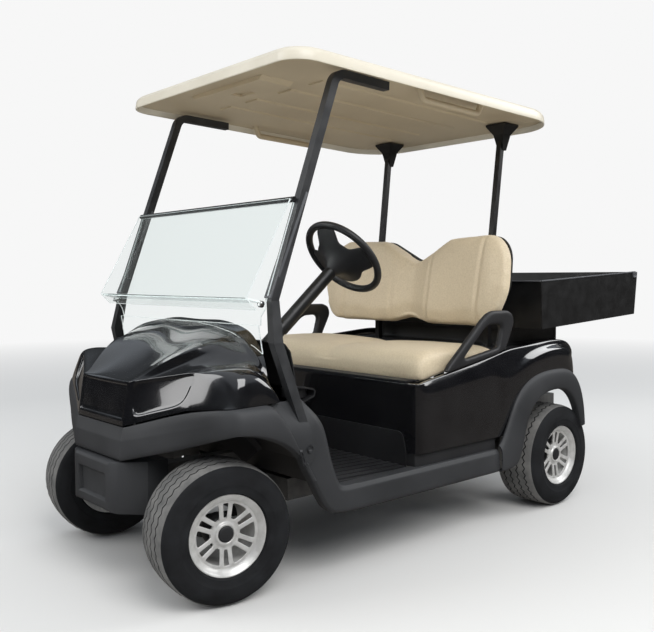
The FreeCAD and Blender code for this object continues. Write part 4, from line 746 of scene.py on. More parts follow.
def fascia():
    """Grey band across the nose that widens into the wheel arches' mouldings."""
    count = len(FASCIA_LINES[0])
    piece = sheet("front_fascia_moulding", FASCIA_LINES)
    faced(piece, at(700, 0, 400))
    every = range(len(FASCIA_LINES))
    for place, lines, amount in ((1, every, 0.6), (3, range(9), 0.95), (6, every, 0.5)):
        crease_across(piece, count, place, lines, amount)
    crease_along(piece, count, 2, range(1, 7), 0.5)
    end()
    moulded(mirrored(piece))
    return finished(piece, "grey", "chassis", ["front_fascia"])


fascia()

# Side panel, driver's side: its section below the door as (out, up), and its sections along it from
# the rear, which turn up into the pillar cover
ROCKER_SECTION = ((540, 230), (580, 229), (589, 238), (590, 262), (587, 304), (577, 319), (532, 319))
ROCKER_LINES = tuple(tuple((x, y, z) for y, z in ROCKER_SECTION) for x in (-386, -370, -60, 260)) + (
    ((400, 540, 231), (400, 580, 230), (400, 589, 239), (400, 590, 262), (400, 587, 304), (400, 577, 319),
     (400, 532, 319)),
    ((478, 540, 234), (480, 580, 233), (478, 589, 243), (466, 591, 268), (448, 588, 306), (442, 578, 321),
     (442, 533, 320)),
    ((512, 540, 256), (516, 580, 256), (510, 589, 264), (494, 591, 286), (472, 588, 316), (461, 579, 332),
     (461, 534, 331)),
    ((550, 542, 318), (556, 580, 320), (549, 589, 326), (530, 592, 344), (494, 588, 368), (480, 579, 379),
     (480, 536, 378)),
    ((566, 542, 352), (572, 580, 358), (566, 588, 362), (546, 591, 380), (506, 588, 404), (493, 579, 414),
     (493, 537, 413)),
    ((604, 542, 410), (610, 580, 414), (603, 588, 419), (576, 591, 436), (524, 588, 459), (507, 579, 467),
     (507, 538, 466)),
    ((630, 542, 482), (634, 579, 485), (627, 587, 489), (596, 590, 501), (541, 587, 521), (523, 578, 528),
     (523, 538, 527)),
    ((656, 540, 534), (660, 572, 537), (654, 580, 541), (620, 580, 548), (562, 576, 560), (545, 568, 566),
     (544, 538, 565)),
    ((690, 534, 577), (694, 548, 581), (689, 554, 585), (650, 550, 592), (592, 549, 598), (574, 549, 600),
     (572, 538, 598)),
    ((712, 530, 602), (714, 538, 608), (708, 541, 613), (664, 540, 618), (606, 540, 620), (590, 540, 620),
     (588, 534, 616)),
)

# The trim on the pillar cover, lines from its top down, and its screw's place
LENS_LINES = (
    ((714, 541, 611), (664, 543, 622), (606, 545, 610)),
    ((690, 560, 578), (650, 562, 583), (594, 564, 575)),
    ((664, 583, 532), (630, 586, 538), (583, 586, 535)),
    ((644, 589, 492), (612, 594, 494), (576, 592, 490)),
    ((630, 590, 452), (604, 595, 454), (574, 593, 452)),
    ((621, 589, 420), (604, 593, 420), (583, 592, 422)),
    ((612, 587, 410), (603, 589, 408), (592, 589, 411)),
)
COVER_SCREW = (597, 592, 468)


def side_panel():
    """Side panel with its pillar cover, and the lens of trim that carries the cover's screw."""
    count = len(ROCKER_LINES[0])
    piece = sheet("side_panel_left", ROCKER_LINES)
    faced(piece, at(100, 0, 400))
    for place, amount in ((1, 0.5), (2, 0.4), (4, 0.6), (5, 0.6)):
        crease_across(piece, count, place, range(len(ROCKER_LINES)), amount)
    end()
    subdivided(piece, 3)
    walled(piece, PANEL_WALL)
    lens = sheet("cover_lens", LENS_LINES)
    faced(lens, at(600, 0, 450))
    pick_all()
    bpy.ops.mesh.inset(thickness=0.004, depth=0, use_even_offset=True)
    end()
    subdivided(lens, 3)
    walled(lens, 0.006)
    screw = primitive("cylinder", "cover_screw", vertices=28, radius=0.0115, depth=0.012,
                      location=at(*COVER_SCREW), rotation=(math.radians(90), 0, 0))
    pick(lambda middle, normal: normal.y > 0.9, "FACE")
    stepped((0, 1, 0), (0.0022, -0.004), (0.0022, 0.003), (0.003, -0.003))
    end()
    whole = smooth(joined([piece, lens, screw], "side_panel_left"), 50)
    both = joined([whole, other_hand(whole, "side_panel_right")], "side_panels")
    return finished(both, "grey", "chassis", ["rocker_panels"])


side_panel()

# Rear body, driver's side: how far along, the top edge's height, and the lower and upper edge of the
# haunch's bevel as (out, up) each
SIDE_STATIONS = (
    (36, 622, (577, 560), (573, 600)),
    (-60, 637, (577, 566), (573, 610)),
    (-240, 666, (578, 580), (573, 634)),
    (-400, 695, (579, 594), (572, 660)),
    (-462, 707, (580, 588), (573, 632)),
    (-510, 713, (585, 612), (575, 646)),
    (-565, 716, (590, 645), (574, 672)),
    (-630, 721, (591, 668), (572, 692)),
    (-710, 727, (591, 686), (570, 706)),
    (-790, 732, (591, 693), (568, 712)),
    (-860, 728, (589, 688), (566, 707)),
    (-910, 718, (583, 668), (562, 694)),
    (-945, 680, (572, 636), (556, 660)),
)
# Heights of the body's lower edge and of the wall's lines above it, and the wheel opening's radius in
# metres
BODY_LOW = 366
WALL_HEIGHTS = (BODY_LOW, 430, 510, 560, 598, 610)
WHEEL_ROOM = 0.330


def rear_body():
    """Gloss rear body: front wall, rounded corner, side with its haunch, and the back, cut for the wheels."""
    sections = []
    for y in (0, 260, 500, 548):
        sections.append([(75, y, z) for z in WALL_HEIGHTS]
                        + [(74, y, 617), (69, y, 619), (62, y, 619), (60, y, 596)])
    for x, y, low_x, low_y in ((71, 563, 60, 549), (60, 573, 54, 553)):
        sections.append([(x, y, z) for z in WALL_HEIGHTS]
                        + [(x - 1, y - 1, 617), (x - 5, y - 7, 619), (low_x - 3, low_y, 619),
                           (low_x - 5, low_y - 2, 596)])
    for x, top, lower, upper in SIDE_STATIONS:
        sections.append([(x, 572, BODY_LOW), (x, 576, 430), (x, 578, 510), (x, *lower), (x, *upper),
                         (x, 565, top - 9), (x, 562, top - 3), (x, 555, top), (x, 545, top - 1),
                         (x, 543, top - 22)])
    for x, y, top in ((-968, 545, 650), (-979, 508, 640), (-981, 400, 636), (-981, 0, 634)):
        sections.append([(x, y, z) for z in (BODY_LOW, 430, 500, 560, 600, top - 9)]
                        + [(x + 1, y, top - 3), (x + 5, y - y / 80, top), (x + 12, y - y / 50, top - 1),
                           (x + 13, y - y / 50, top - 22)])
    count = len(sections[0])
    piece = sheet("rear_body_shell", sections)
    faced(piece, at(-450, 0, 500))
    haunch = range(9, 18)
    for place, lines, amount in ((3, haunch, 0.7), (4, haunch, 0.7), (6, range(len(sections)), 0.4)):
        crease_across(piece, count, place, lines, amount)
    end()
    mirrored(piece)
    subdivided(piece, 2)
    walled(piece, PANEL_WALL)
    cutter = primitive("cylinder", "wheel_cut", vertices=96, radius=WHEEL_ROOM, depth=1.4,
                       location=at(REAR_AXLE, 0, AXLE_HEIGHT), rotation=(math.radians(90), 0, 0))
    end()
    modifier(piece, "BOOLEAN", "wheel_room", operation="DIFFERENCE", solver="EXACT", object=cutter)
    bpy.data.objects.remove(cutter)
    smooth(piece, 40)
    return finished(piece, "gloss", "chassis", ["rear_body"])


rear_body()

# Rear flare, driver's side: its outer edge on the body, and the edge of its opening, as (x, z) pairs
FLARE_STATIONS = (
    ((-391, 334), (-391, 230)), ((-408, 345), (-444, 230)), ((-440, 394), (-506, 238)),
    ((-470, 452), (-532, 292)), ((-502, 506), (-547, 352)), ((-546, 552), (-567, 412)),
    ((-602, 583), (-602, 463)), ((-664, 600), (-652, 502)), ((-732, 607), (-716, 519)),
    ((-802, 608), (-785, 523)), ((-872, 602), (-850, 515)), ((-926, 578), (-899, 482)),
    ((-966, 528), (-931, 438)), ((-989, 466), (-951, 394)), ((-1000, 402), (-963, 354)),
    ((-1003, 350), (-968, 341)),
)
# Across a flare from its outer edge: share of the way to the opening, and how far out
FLARE_SECTION = ((0.0, 578), (0.0, 584), (0.06, 593), (0.2, 600), (0.5, 603), (0.84, 602), (0.97, 598),
                 (1.0, 592), (1.0, 566))


def rear_flares():
    """Grey flare round each rear wheel's opening."""
    lines = []
    for outer, inner in FLARE_STATIONS:
        line = []
        for share, y in FLARE_SECTION:
            x, z = (start + (stop - start) * share for start, stop in zip(outer, inner))
            line.append((x, y, z))
        lines.append(line)
    piece = sheet("flares", lines)
    faced(piece, at(-700, 0, 300))
    crease_across(piece, len(FLARE_SECTION), 1, range(len(lines)), 0.5)
    end()
    moulded(piece)
    both = joined([piece, other_hand(piece, "flare_right")], "flares")
    return finished(both, "grey", "chassis", ["rear_flares"])


rear_flares()

# Nose block: the lengths of its wide base and of its taper, its width and height, in metres, and its
# base's middle and its face's place
NOSE_BASE, NOSE_TAPER, NOSE_WIDE, NOSE_HIGH = 0.074, 0.089, 0.438, 0.170
NOSE_MIDDLE = (917, 0, 334)
NOSE_FACE = 1043


def nose_block():
    """Lower nose block with soft edges and a rounded recess in its face."""
    block = primitive("cube", "nose_block", size=1, location=at(*NOSE_MIDDLE),
                      scale=(NOSE_BASE, NOSE_WIDE, NOSE_HIGH))
    pick(lambda middle, normal: normal.x > 0.9, "FACE")
    bpy.ops.mesh.extrude_region_move(TRANSFORM_OT_translate={"value": (NOSE_TAPER, 0, 0)})
    bpy.ops.transform.resize(value=(1, 0.64, 0.97), center_override=at(NOSE_FACE, 0, 338))
    bpy.ops.mesh.inset(thickness=0.027)
    bpy.ops.transform.resize(value=(1, 0.88, 0.84), center_override=at(NOSE_FACE, 0, 306))
    bpy.ops.mesh.inset(thickness=0.004, depth=-0.004)
    bpy.ops.mesh.inset(thickness=0.003, depth=-0.009)
    pick(lambda middle, normal: normal.x < -0.9, "FACE")
    bpy.ops.mesh.delete(type="FACE")

    def on_outline(first, second, upright):
        """Whether an edge lies on the outline of the face, upright or level as asked."""
        run = second - first
        return (min(first.x, second.x) > at(990, 0, 0).x and (abs(run.z) > 0.1) == upright
                and run.length > 0.06 and max(abs(first.y), abs(second.y)) > 0.1)

    for offset, upright in ((0.026, True), (0.012, False)):
        pick(lambda first, second, upright=upright: on_outline(first, second, upright), "EDGE")
        bpy.ops.mesh.bevel(offset=offset, segments=4, affect="EDGES", clamp_overlap=True)
    end()
    modifier(block, "SOLIDIFY", "wall", thickness=PANEL_WALL, offset=-1)
    bevelled(block, 0.002)
    smooth(block, 40)
    return finished(block, "grey", "chassis", ["bumper"])


nose_block()


def beam(name, start, stop, wide, deep, side=(0, 1, 0)):
    """A bar between two points, wide along one direction and deep across it, still open for editing."""
    run = (stop - start).normalized()
    out = Vector(side).normalized() * wide / 2
    up = run.cross(out).normalized() * deep / 2
    rows = [[place + out + up, place - out + up, place - out - up, place + out - up]
            for place in (start, stop)]
    return skin(name, rows, closed=True, caps=True)


# Windscreen
def pane(node, name):
    """A pane of acrylic whose sawn edges carry a painted glow."""
    piece = node_copy(node, name)
    painted(piece, "acrylic", "edge")
    begin(piece)
    pick(lambda middle, normal: abs(normal.y) > 0.5 or normal.z > 0.6 and normal.x > -0.6
         or normal.z < -0.75, "FACE")
    paint_picked(piece)
    end()
    return finished(piece, None, "chassis", [node])


# The upper pane's folded lip, along and up at its front and rear, its width and thickness in metres,
# and its screws' place
LIP_FRONT, LIP_REAR = (751, 938), (700, 926)
LIP_WIDE, LIP_THICK = 0.978, 0.005
PANE_SCREW = (699, 484, 920)


def screen_trim():
    """The upper pane's folded lip, with edges that carry a painted glow, and the screws that hold the panes.
    """
    front, rear = (at(along, 0, up) for along, up in (LIP_FRONT, LIP_REAR))
    lip = beam("folded_lip", front, rear, LIP_WIDE, LIP_THICK)
    pick(lambda middle, normal: abs(normal.z) > 0.6, "FACE")
    bpy.ops.mesh.inset(thickness=0.004, depth=0)
    painted(lip, "edge", "acrylic")
    paint_picked(lip)
    end()
    finished(lip, None, "chassis")
    screws = []
    for side in (1, -1):
        screw = primitive("cylinder", "pane_screw", vertices=24, radius=0.011, depth=0.012,
                          location=at(PANE_SCREW[0], side * PANE_SCREW[1], PANE_SCREW[2]),
                          rotation=(0, math.radians(78), 0))
        pick(lambda middle, normal: normal.x > 0.8, "FACE")
        stepped((1, 0, 0), (0.003, 0.003), (0.002, -0.003))
        end()
        screws.append(bevelled(screw, 0.0008))
    finished(smooth(joined(screws, "pane_screws")), "chrome", "chassis")


# Lower edge of the lower pane over the cowl: how far from the middle, and the height there, with the
# foot's upper edge, how far its lower edge lies behind it for its height, and its place along the cart
FOOT_TOP = 852
FOOT_LEAN = 0.16
FOOT_FRONT = 690
PANE_FOOT = ((0, FOOT_TOP), (110, 849), (210, 840), (300, 824), (370, 802), (425, 780), (458, 762))


def pane_foot():
    """The part of the lower pane that reaches down beside the cowl, with edges that carry a painted glow."""
    rows = []
    for hand in (-1, 1):
        for across, height in (PANE_FOOT if hand > 0 else PANE_FOOT[:0:-1]):
            low = min(height, FOOT_TOP - 1)
            half = across * hand
            lean = FOOT_LEAN * (FOOT_TOP - low)
            rows.append([(FOOT_FRONT, half, FOOT_TOP),
                         (FOOT_FRONT - lean / 2, half * 1.002, (FOOT_TOP + low) / 2),
                         (FOOT_FRONT - lean, half * 1.004, low - 1)])
    piece = sheet("lower_pane_foot", rows)
    faced(piece, at(400, 0, 800))
    end()
    painted(piece, "acrylic", "edge")
    modifier(piece, "SOLIDIFY", "wall", thickness=0.0045, offset=0, material_offset_rim=1)
    return finished(piece, None, "chassis")


pane_foot()
pane("windscreen_upper", "upper_pane")
pane("windscreen_lower", "lower_pane")
screen_trim()


# A strut's sleeve: how far out, its upper and lower end along and up, and its width and depth in metres
STRUT_SIDE = 494
SLEEVE_TOP, SLEEVE_FOOT = (531, 1275), (678, 938)
SLEEVE_WIDE, SLEEVE_DEEP = 0.034, 0.010


def strut_sleeves():
    """Grey channels on the front of the struts, between the fold and the kink."""
    sleeves = []
    for y in (STRUT_SIDE, -STRUT_SIDE):
        top, foot = (at(along, y, up) for along, up in (SLEEVE_TOP, SLEEVE_FOOT))
        sleeve = beam("strut_sleeve", top, foot, SLEEVE_WIDE, SLEEVE_DEEP)
        pick(lambda middle, normal: normal.x > 0.6, "FACE")
        bpy.ops.mesh.inset(thickness=0.006)
        bpy.ops.mesh.inset(thickness=0.001, depth=-0.005)
        end()
        sleeves.append(bevelled(sleeve, 0.0012))
    return finished(smooth(joined(sleeves, "strut_sleeves")), "sleeve", "chassis")


strut_sleeves()


# Cargo box: how far it tilts, its floor's front end along and up, and, in millimetres, its rim's place
# beside the middle, length and height and its latches' place beside the middle, ends and depth below it
BOX_TILT = math.radians(2.8)
BOX_FRONT = (-716, 778)
RIM_SIDE, RIM_LENGTH, RIM_HIGH = 557, 796, 203
LATCH_SIDE, LATCH_ENDS, LATCH_DROP = 563, (768, 800), 14


def box_point(along, y, up):
    """A point of the cargo box: along it from its front, across, and above its floor."""
    return at(BOX_FRONT[0] - along * math.cos(BOX_TILT) + up * math.sin(BOX_TILT), y,
              BOX_FRONT[1] + along * math.sin(BOX_TILT) + up * math.cos(BOX_TILT))


def box_rim():
    """Rolled rim along the cargo box's walls, and a latch at each rear corner."""
    runs = [(box_point(0, -RIM_SIDE, RIM_HIGH), box_point(0, RIM_SIDE, RIM_HIGH), (1, 0, 0))]
    for y in (RIM_SIDE, -RIM_SIDE):
        runs.append((box_point(0, y, RIM_HIGH), box_point(RIM_LENGTH, y, RIM_HIGH), (0, 1, 0)))
    pieces = []
    for start, stop, across in runs:
        rim = beam("box_rim", start, stop, 0.012, 0.006, across)
        end()
        pieces.append(bevelled(rim, 0.002, 3))
    for side in (1, -1):
        front, rear = (box_point(along, side * LATCH_SIDE, RIM_HIGH - LATCH_DROP) for along in LATCH_ENDS)
        latch = beam("box_latch", front, rear, 0.007, 0.026)
        pick(lambda middle, normal, side=side: normal.y * side > 0.8, "FACE")
        bpy.ops.mesh.inset(thickness=0.005)
        bpy.ops.mesh.inset(thickness=0.001, depth=-0.002)
        end()
        pieces.append(bevelled(latch, 0.001))
    return finished(smooth(joined(pieces, "box_rim")), "sleeve", "chassis")


box_rim()


# Middle of the tray under the cargo box, and its size and its top's slope in metres
TRAY_MIDDLE = (-904, 0, 737)
TRAY_SIZE = (0.384, 0.77, 0.086)
TRAY_RISE = 0.0175


def box_tray():
    """Steel tray that the cargo box stands on, between the posts, with a pressed panel in each side."""
    centre = at(*TRAY_MIDDLE)
    tray = primitive("cube", "box_tray", size=1, location=centre, scale=TRAY_SIZE)
    # its top slopes with the box
    pick(lambda co: co.z > centre.z and co.x < centre.x)
    bpy.ops.transform.translate(value=(0, 0, TRAY_RISE))
    for way in ((1, 0, 0), (0, 1, 0), (0, -1, 0), (-1, 0, 0)):
        pick(lambda middle, normal, way=way: normal.dot(Vector(way)) > 0.9, "FACE")
        bpy.ops.mesh.inset(thickness=0.014)
        bpy.ops.mesh.inset(thickness=0.003, depth=-0.004)
    end()
    return finished(smooth(bevelled(tray, 0.003)), "steel", "chassis")


box_tray()


# Cushions: how fine their mesh is, in metres, and for how many steps their filling settles
CUSHION_MESH = 0.011
FILLING_STEPS = 20


def padded_cushion(pad, body, node, cap, pressure, soft_corners, board, channels):
    """A vinyl cushion blown up from its cut form, with its seams sewn in afterwards.

    cap is the most that the filling may swell it, and board is the way to the stiff board at its back,
    on which side the filling can't swell."""
    low, high = bounds_of(pad)
    modifier(pad, "REMESH", "even_mesh", mode="VOXEL", voxel_size=CUSHION_MESH)
    modifier(pad, "SMOOTH", "soft_corners", factor=0.5, iterations=soft_corners)
    fitted(pad, low, high)
    rest = [vert.co.copy() for vert in pad.data.vertices]
    soft = [min(max(1 - 1.6 * vert.normal.dot(Vector(board)), 0), 1) for vert in pad.data.vertices]
    only(pad)
    cloth = pad.modifiers.new("filling", "CLOTH")
    cloth.settings.use_pressure = True
    cloth.settings.uniform_pressure_force = pressure
    cloth.settings.effector_weights.gravity = 0
    cloth.settings.quality = 4
    for step in range(1, FILLING_STEPS + 1):
        scene.frame_set(step)
    bpy.ops.object.modifier_apply(modifier=cloth.name)
    scene.frame_set(1)
    for vert, start, share in zip(pad.data.vertices, rest, soft):
        moved = vert.co - start
        reach = min(moved.length, cap) * share
        vert.co = start + moved.normalized() * reach
    modifier(pad, "SMOOTH", "settled", factor=0.5, iterations=4)
    subdivided(pad, 1)
    channels(pad)
    fitted(pad, low, high)
    smooth(pad, 60)
    finished(pad, "vinyl", body, [node])
    return pad


def bounds_of(piece):
    """A piece's lowest and highest corners."""
    corners = [vert.co for vert in piece.data.vertices]
    return [Vector([rule(co[axis] for co in corners) for axis in range(3)]) for rule in (min, max)]


def fitted(piece, low, high):
    """Stretch a piece to fill the box that it was cut to."""
    now_low, now_high = bounds_of(piece)
    for vert in piece.data.vertices:
        for axis in range(3):
            share = (vert.co[axis] - now_low[axis]) / (now_high[axis] - now_low[axis])
            vert.co[axis] = low[axis] + share * (high[axis] - low[axis])


# Side view of the seat cushion, round from its lower front edge
SEAT_SIDE = (
    (-2, 612), (12, 640), (11, 676), (-6, 706), (-48, 724), (-120, 731), (-230, 732), (-350, 728),
    (-424, 721), (-452, 706), (-457, 688), (-400, 686), (-280, 668), (-140, 642),
)
SEAT_TOP = 700
# Cuts across the seat cushion from its end to near its middle: how far out, how much smaller the side
# view is, and its top's rise
SEAT_ENDS = ((524, 0.74, -8), (517, 0.90, -4), (490, 1.0, 0), (400, 1.0, 3), (240, 1.0, 3), (90, 1.0, -2))
SEAT_CUTS = [(-y, share, rise) for y, share, rise in SEAT_ENDS] + [(0, 1.0, -7)] + list(SEAT_ENDS[::-1])


def seat_form():
    """The seat cushion's cut form, fuller over each place and rounded at its ends."""
    middle = Vector((sum(x for x, z in SEAT_SIDE), sum(z for x, z in SEAT_SIDE))) / len(SEAT_SIDE)
    rows = []
    for y, share, rise in SEAT_CUTS:
        row = []
        for x, z in SEAT_SIDE:
            up = rise if z > SEAT_TOP else 0
            along = (x - middle.x) * (1 - (1 - share) * 0.35)
            row.append(at(middle.x + along, y, middle.y + (z - middle.y) * share + up))
        rows.append(row)
    skin("seat_cushion_cover", rows, closed=True, caps=True)
    return end()


def pressed(pad, depth, width, rule, facing=None):
    """Press a sewn line into a cushion: points near the line sink along their normals."""
    normals = [vert.normal.copy() for vert in pad.data.vertices]
    for vert, normal in zip(pad.data.vertices, normals):
        away = rule(vert.co)
        if away is not None and abs(away) < width:
            share = 1 - abs(away) / width
            if facing:
                share *= min(max(normal.dot(Vector(facing)), 0), 1)
            vert.co -= normal * depth * share * share * (3 - 2 * share)


def seat_seams(pad):
    """A shallow dip runs between the two places."""
    pressed(pad, 0.006, 0.10, lambda co: co.y if co.z > 0.66 else None)


# Sewn seams of the seat back: how far from the middle, and how deep, and the height of its middle
BACK_SEAMS = ((-0.40, 0.0045), (-0.108, 0.003), (0.108, 0.003), (0.40, 0.0045))
BACK_MIDDLE = 0.98


def back_seams(pad):
    """Sewn seams run up both sides of each place, and the middle is drawn in."""
    front = (1, 0, 0)
    for middle, depth in BACK_SEAMS:
        pressed(pad, depth, 0.018, lambda co, middle=middle: co.y - middle * (1 + 0.05 * (co.z - 1)), front)
    pressed(pad, 0.020, 0.13, lambda co: co.y, front)


padded_cushion(seat_form(), "seat_bottom", "seat_cushion", cap=0.009, pressure=3.0, soft_corners=12,
               board=(0, 0, -1), channels=seat_seams)


def back_form():
    """The seat back's cut form: its outer corners rounder and its box a little smaller than the solid's."""
    form = node_copy("seat_back_cushion", "seat_back_cover")
    for vert in form.data.vertices:
        outer = min(max((abs(vert.co.y) - 0.36) / 0.19, 0), 1)
        if vert.co.z > BACK_MIDDLE:
            vert.co.z = BACK_MIDDLE + (vert.co.z - BACK_MIDDLE) * (1 - 0.16 * outer ** 2)
    low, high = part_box("seat_back_cushion")
    fitted(form, low + Vector((0.004, 0.014, 0.002)), high - Vector((0.002, 0.014, 0.008)))
    return form


padded_cushion(back_form(), "chassis", "seat_back_cushion", cap=0.014, pressure=5.0, soft_corners=26,
               board=(-1, 0, 0), channels=back_seams)


def grab_loops():
    """Moulded grab loops beside the seat, their corners well rounded."""
    loops = node_copy("hip_restraints", "grab_loops")
    low, high = bounds_of(loops)
    modifier(loops, "REMESH", "even_mesh", mode="VOXEL", voxel_size=0.006)
    modifier(loops, "SMOOTH", "soft_corners", factor=0.5, iterations=9)
    fitted(loops, low, high)
    # the rear leg leans forward to its foot
    for vert in loops.data.vertices:
        behind = min(max((at(-400, 0, 0).x - vert.co.x) / 0.06, 0), 1)
        below = min(max((at(0, 0, 815).z - vert.co.z) / 0.12, 0), 1)
        vert.co.x += 0.028 * behind * below
    return finished(smooth(loops, 60), "plastic", "chassis", ["hip_restraints"])


grab_loops()


# Tyres: tread radius and the half width where it ends, how the radius falls off from the middle to a half
# width, zigzags round it, and its grooves' places, half widths, depth and swing, in metres
CROWN = 0.2185
TREAD_EDGE = 0.0785
CROWN_HALF, CROWN_FALL, CROWN_CURVE = 0.078, 0.0062, 2.6
PITCHES = 44
GROOVES = (-0.051, -0.017, 0.017, 0.051)
GROOVE_HALF = 0.0026
GROOVE_DEEP = 0.0062
ZIG = 0.0052
# Outer side of a tyre from the tread's edge to the bead, as (across, radius)
SIDE = (
    (0.0835, 0.2095), (0.0890, 0.2035), (0.0900, 0.2010), (0.0935, 0.1955), (0.0938, 0.1938),
    (0.0972, 0.1840), (0.0990, 0.1700), (0.0990, 0.1560), (0.0984, 0.1552), (0.0978, 0.1440),
    (0.0955, 0.1330), (0.0962, 0.1318), (0.0932, 0.1290), (0.0895, 0.1274), (0.0862, 0.1264),
    (0.0800, 0.1250), (0.0600, 0.1235),
)


def crown_at(across):
    """Radius of the tread at a place across it."""
    share = abs(across) / CROWN_HALF
    return CROWN - CROWN_FALL * share ** CROWN_CURVE


def tread_row(angle, zig):
    """One row of points across the tread: ribs with a groove between them."""
    row = []
    places = [(-TREAD_EDGE, 0.0, 0)]
    for groove in GROOVES:
        places += [(groove - GROOVE_HALF, 0.0, 1), (groove - GROOVE_HALF * 0.6, GROOVE_DEEP, 1),
                   (groove + GROOVE_HALF * 0.6, GROOVE_DEEP, 1), (groove + GROOVE_HALF, 0.0, 1)]
    places.append((TREAD_EDGE, 0.0, 0))
    for across, deep, moves in places:
        y = across + zig * ZIG * moves
        radius = crown_at(across) - deep
        row.append(Vector((radius * math.sin(angle), y, radius * math.cos(angle))))
    return row


def tyre_model():
    """A turf tyre standing on the origin's height with its axle along Y, outer side towards +Y."""
    step = math.tau / PITCHES / 2
    tread = skin("tread_strip", [tread_row(-step, -1), tread_row(0, 1), tread_row(step, -1)])
    turned(PITCHES, dupli=True, use_auto_merge=False)
    end()
    sides = []
    for hand in (1, -1):
        line = [Vector((0, hand * across, radius))
                for across, radius in ((TREAD_EDGE, crown_at(TREAD_EDGE)),) + SIDE]
        side = first_corner("tyre_side", line[0])
        draw_line(line)
        turned(PITCHES * 2)
        end()
        sides.append(side)
    tyre = painted(joined([tread] + sides, "tyre_model"), "side_wall", "tread")
    begin(tyre)
    pick_all()
    bpy.ops.mesh.remove_doubles(threshold=MERGE)
    bpy.ops.mesh.normals_make_consistent(inside=False)

    def on_rib(co, normal):
        radius = math.hypot(co.x, co.z)
        return radius > crown_at(min(abs(co.y), TREAD_EDGE)) - 0.0016 and abs(co.y) < 0.0925

    pick(on_rib, "FACE")
    paint_picked(tyre)
    end()
    return smooth(tyre, 35)


# The photographed lock, the kingpins' and rear wheels' places for the driver's side, and how far out
# of its kingpin a front wheel's middle lies
STEER = math.radians(-11)
KINGPIN = (FRONT_AXLE, 305, AXLE_HEIGHT)
REAR_WHEEL = (REAR_AXLE, 489, AXLE_HEIGHT)
WHEEL_OFFSET = 0.124


def wheel_matrix(end_name, hand):
    """Where a wheel's own frame goes: axle along Y with its outer side away from the cart."""
    side = 1 if hand == "left" else -1
    face = Matrix.Rotation(0 if side > 0 else math.pi, 4, "Z")
    if end_name == "rear":
        return Matrix.Translation(at(REAR_WHEEL[0], side * REAR_WHEEL[1], REAR_WHEEL[2])) @ face
    pin = Matrix.Translation(at(KINGPIN[0], side * KINGPIN[1], KINGPIN[2]))
    turn = Matrix.Rotation(STEER, 4, "Z")
    return pin @ turn @ Matrix.Translation(Vector((0, side * WHEEL_OFFSET, 0))) @ face


def on_wheels(model, name, node=None):
    """Copies of a wheel piece on all four wheels."""
    for end_name in ("front", "rear"):
        for hand in ("left", "right"):
            corner = end_name + "_" + hand
            made = copied(model, name + "_" + corner)
            made.data.transform(wheel_matrix(end_name, hand))
            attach(made, "wheel_" + corner)
            if node:
                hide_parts(node + "_" + corner)
    bpy.data.objects.remove(model)


on_wheels(tyre_model(), "turf_tyre", "tyre")


# Outer face of a rim in its own frame, from the hub to the lip: radius, how far out along the axle,
# and half the width in degrees of the slot inside a pair of spokes and of the window between two pairs
RIM_FACE = (
    (0.0245, 0.0650, 6.0, 4.0), (0.0258, 0.0705, 6.0, 4.0), (0.0325, 0.0712, 6.0, 4.0),
    (0.0345, 0.0660, 6.0, 4.0), (0.0385, 0.0632, 6.0, 4.0), (0.0430, 0.0628, 6.0, 4.0),
    (0.0480, 0.0640, 5.6, 6.0), (0.0600, 0.0650, 5.2, 10.0), (0.0760, 0.0670, 4.9, 13.2),
    (0.0885, 0.0688, 4.8, 15.0), (0.0955, 0.0700, 4.8, 15.2), (0.1000, 0.0704, 4.8, 15.2),
    (0.1055, 0.0708, 5.0, 14.0), (0.1075, 0.0735, 5.0, 14.0), (0.1115, 0.0745, 5.0, 14.0),
    (0.1145, 0.0795, 5.0, 14.0), (0.1190, 0.0845, 5.0, 14.0), (0.1240, 0.0882, 5.0, 14.0),
    (0.1262, 0.0876, 5.0, 14.0), (0.1266, 0.0850, 5.0, 14.0),
)
# The rim's barrel from its outer lip to its inner one, as (across, radius)
BARREL = ((0.0850, 0.1255), (0.0770, 0.1090), (0.0600, 0.1005), (-0.020, 0.0985), (-0.070, 0.1010),
          (-0.084, 0.1170), (-0.086, 0.1250))
HALF_REPEAT = 30
# Lines across half a repeat: three over the slot, three over the spoke, three over the window
SPOKE_LINES = (0.2, 0.5, 0.8)
SLOT_LINE, WINDOW_LINE, LAST_LINE = 2, 6, 8
WINDOW_FROM, WINDOW_TO = 6, 10
SPOKE_PAIRS = 6


def rim_turn(line, slot, window):
    """How far a line of the rim's face is turned from the middle of the slot, in degrees."""
    if line <= SLOT_LINE:
        return slot * line / SLOT_LINE
    edge = HALF_REPEAT - window
    if line < WINDOW_LINE:
        return slot + (edge - slot) * SPOKE_LINES[line - SLOT_LINE - 1]
    return edge + window * (line - WINDOW_LINE) / (LAST_LINE - WINDOW_LINE)


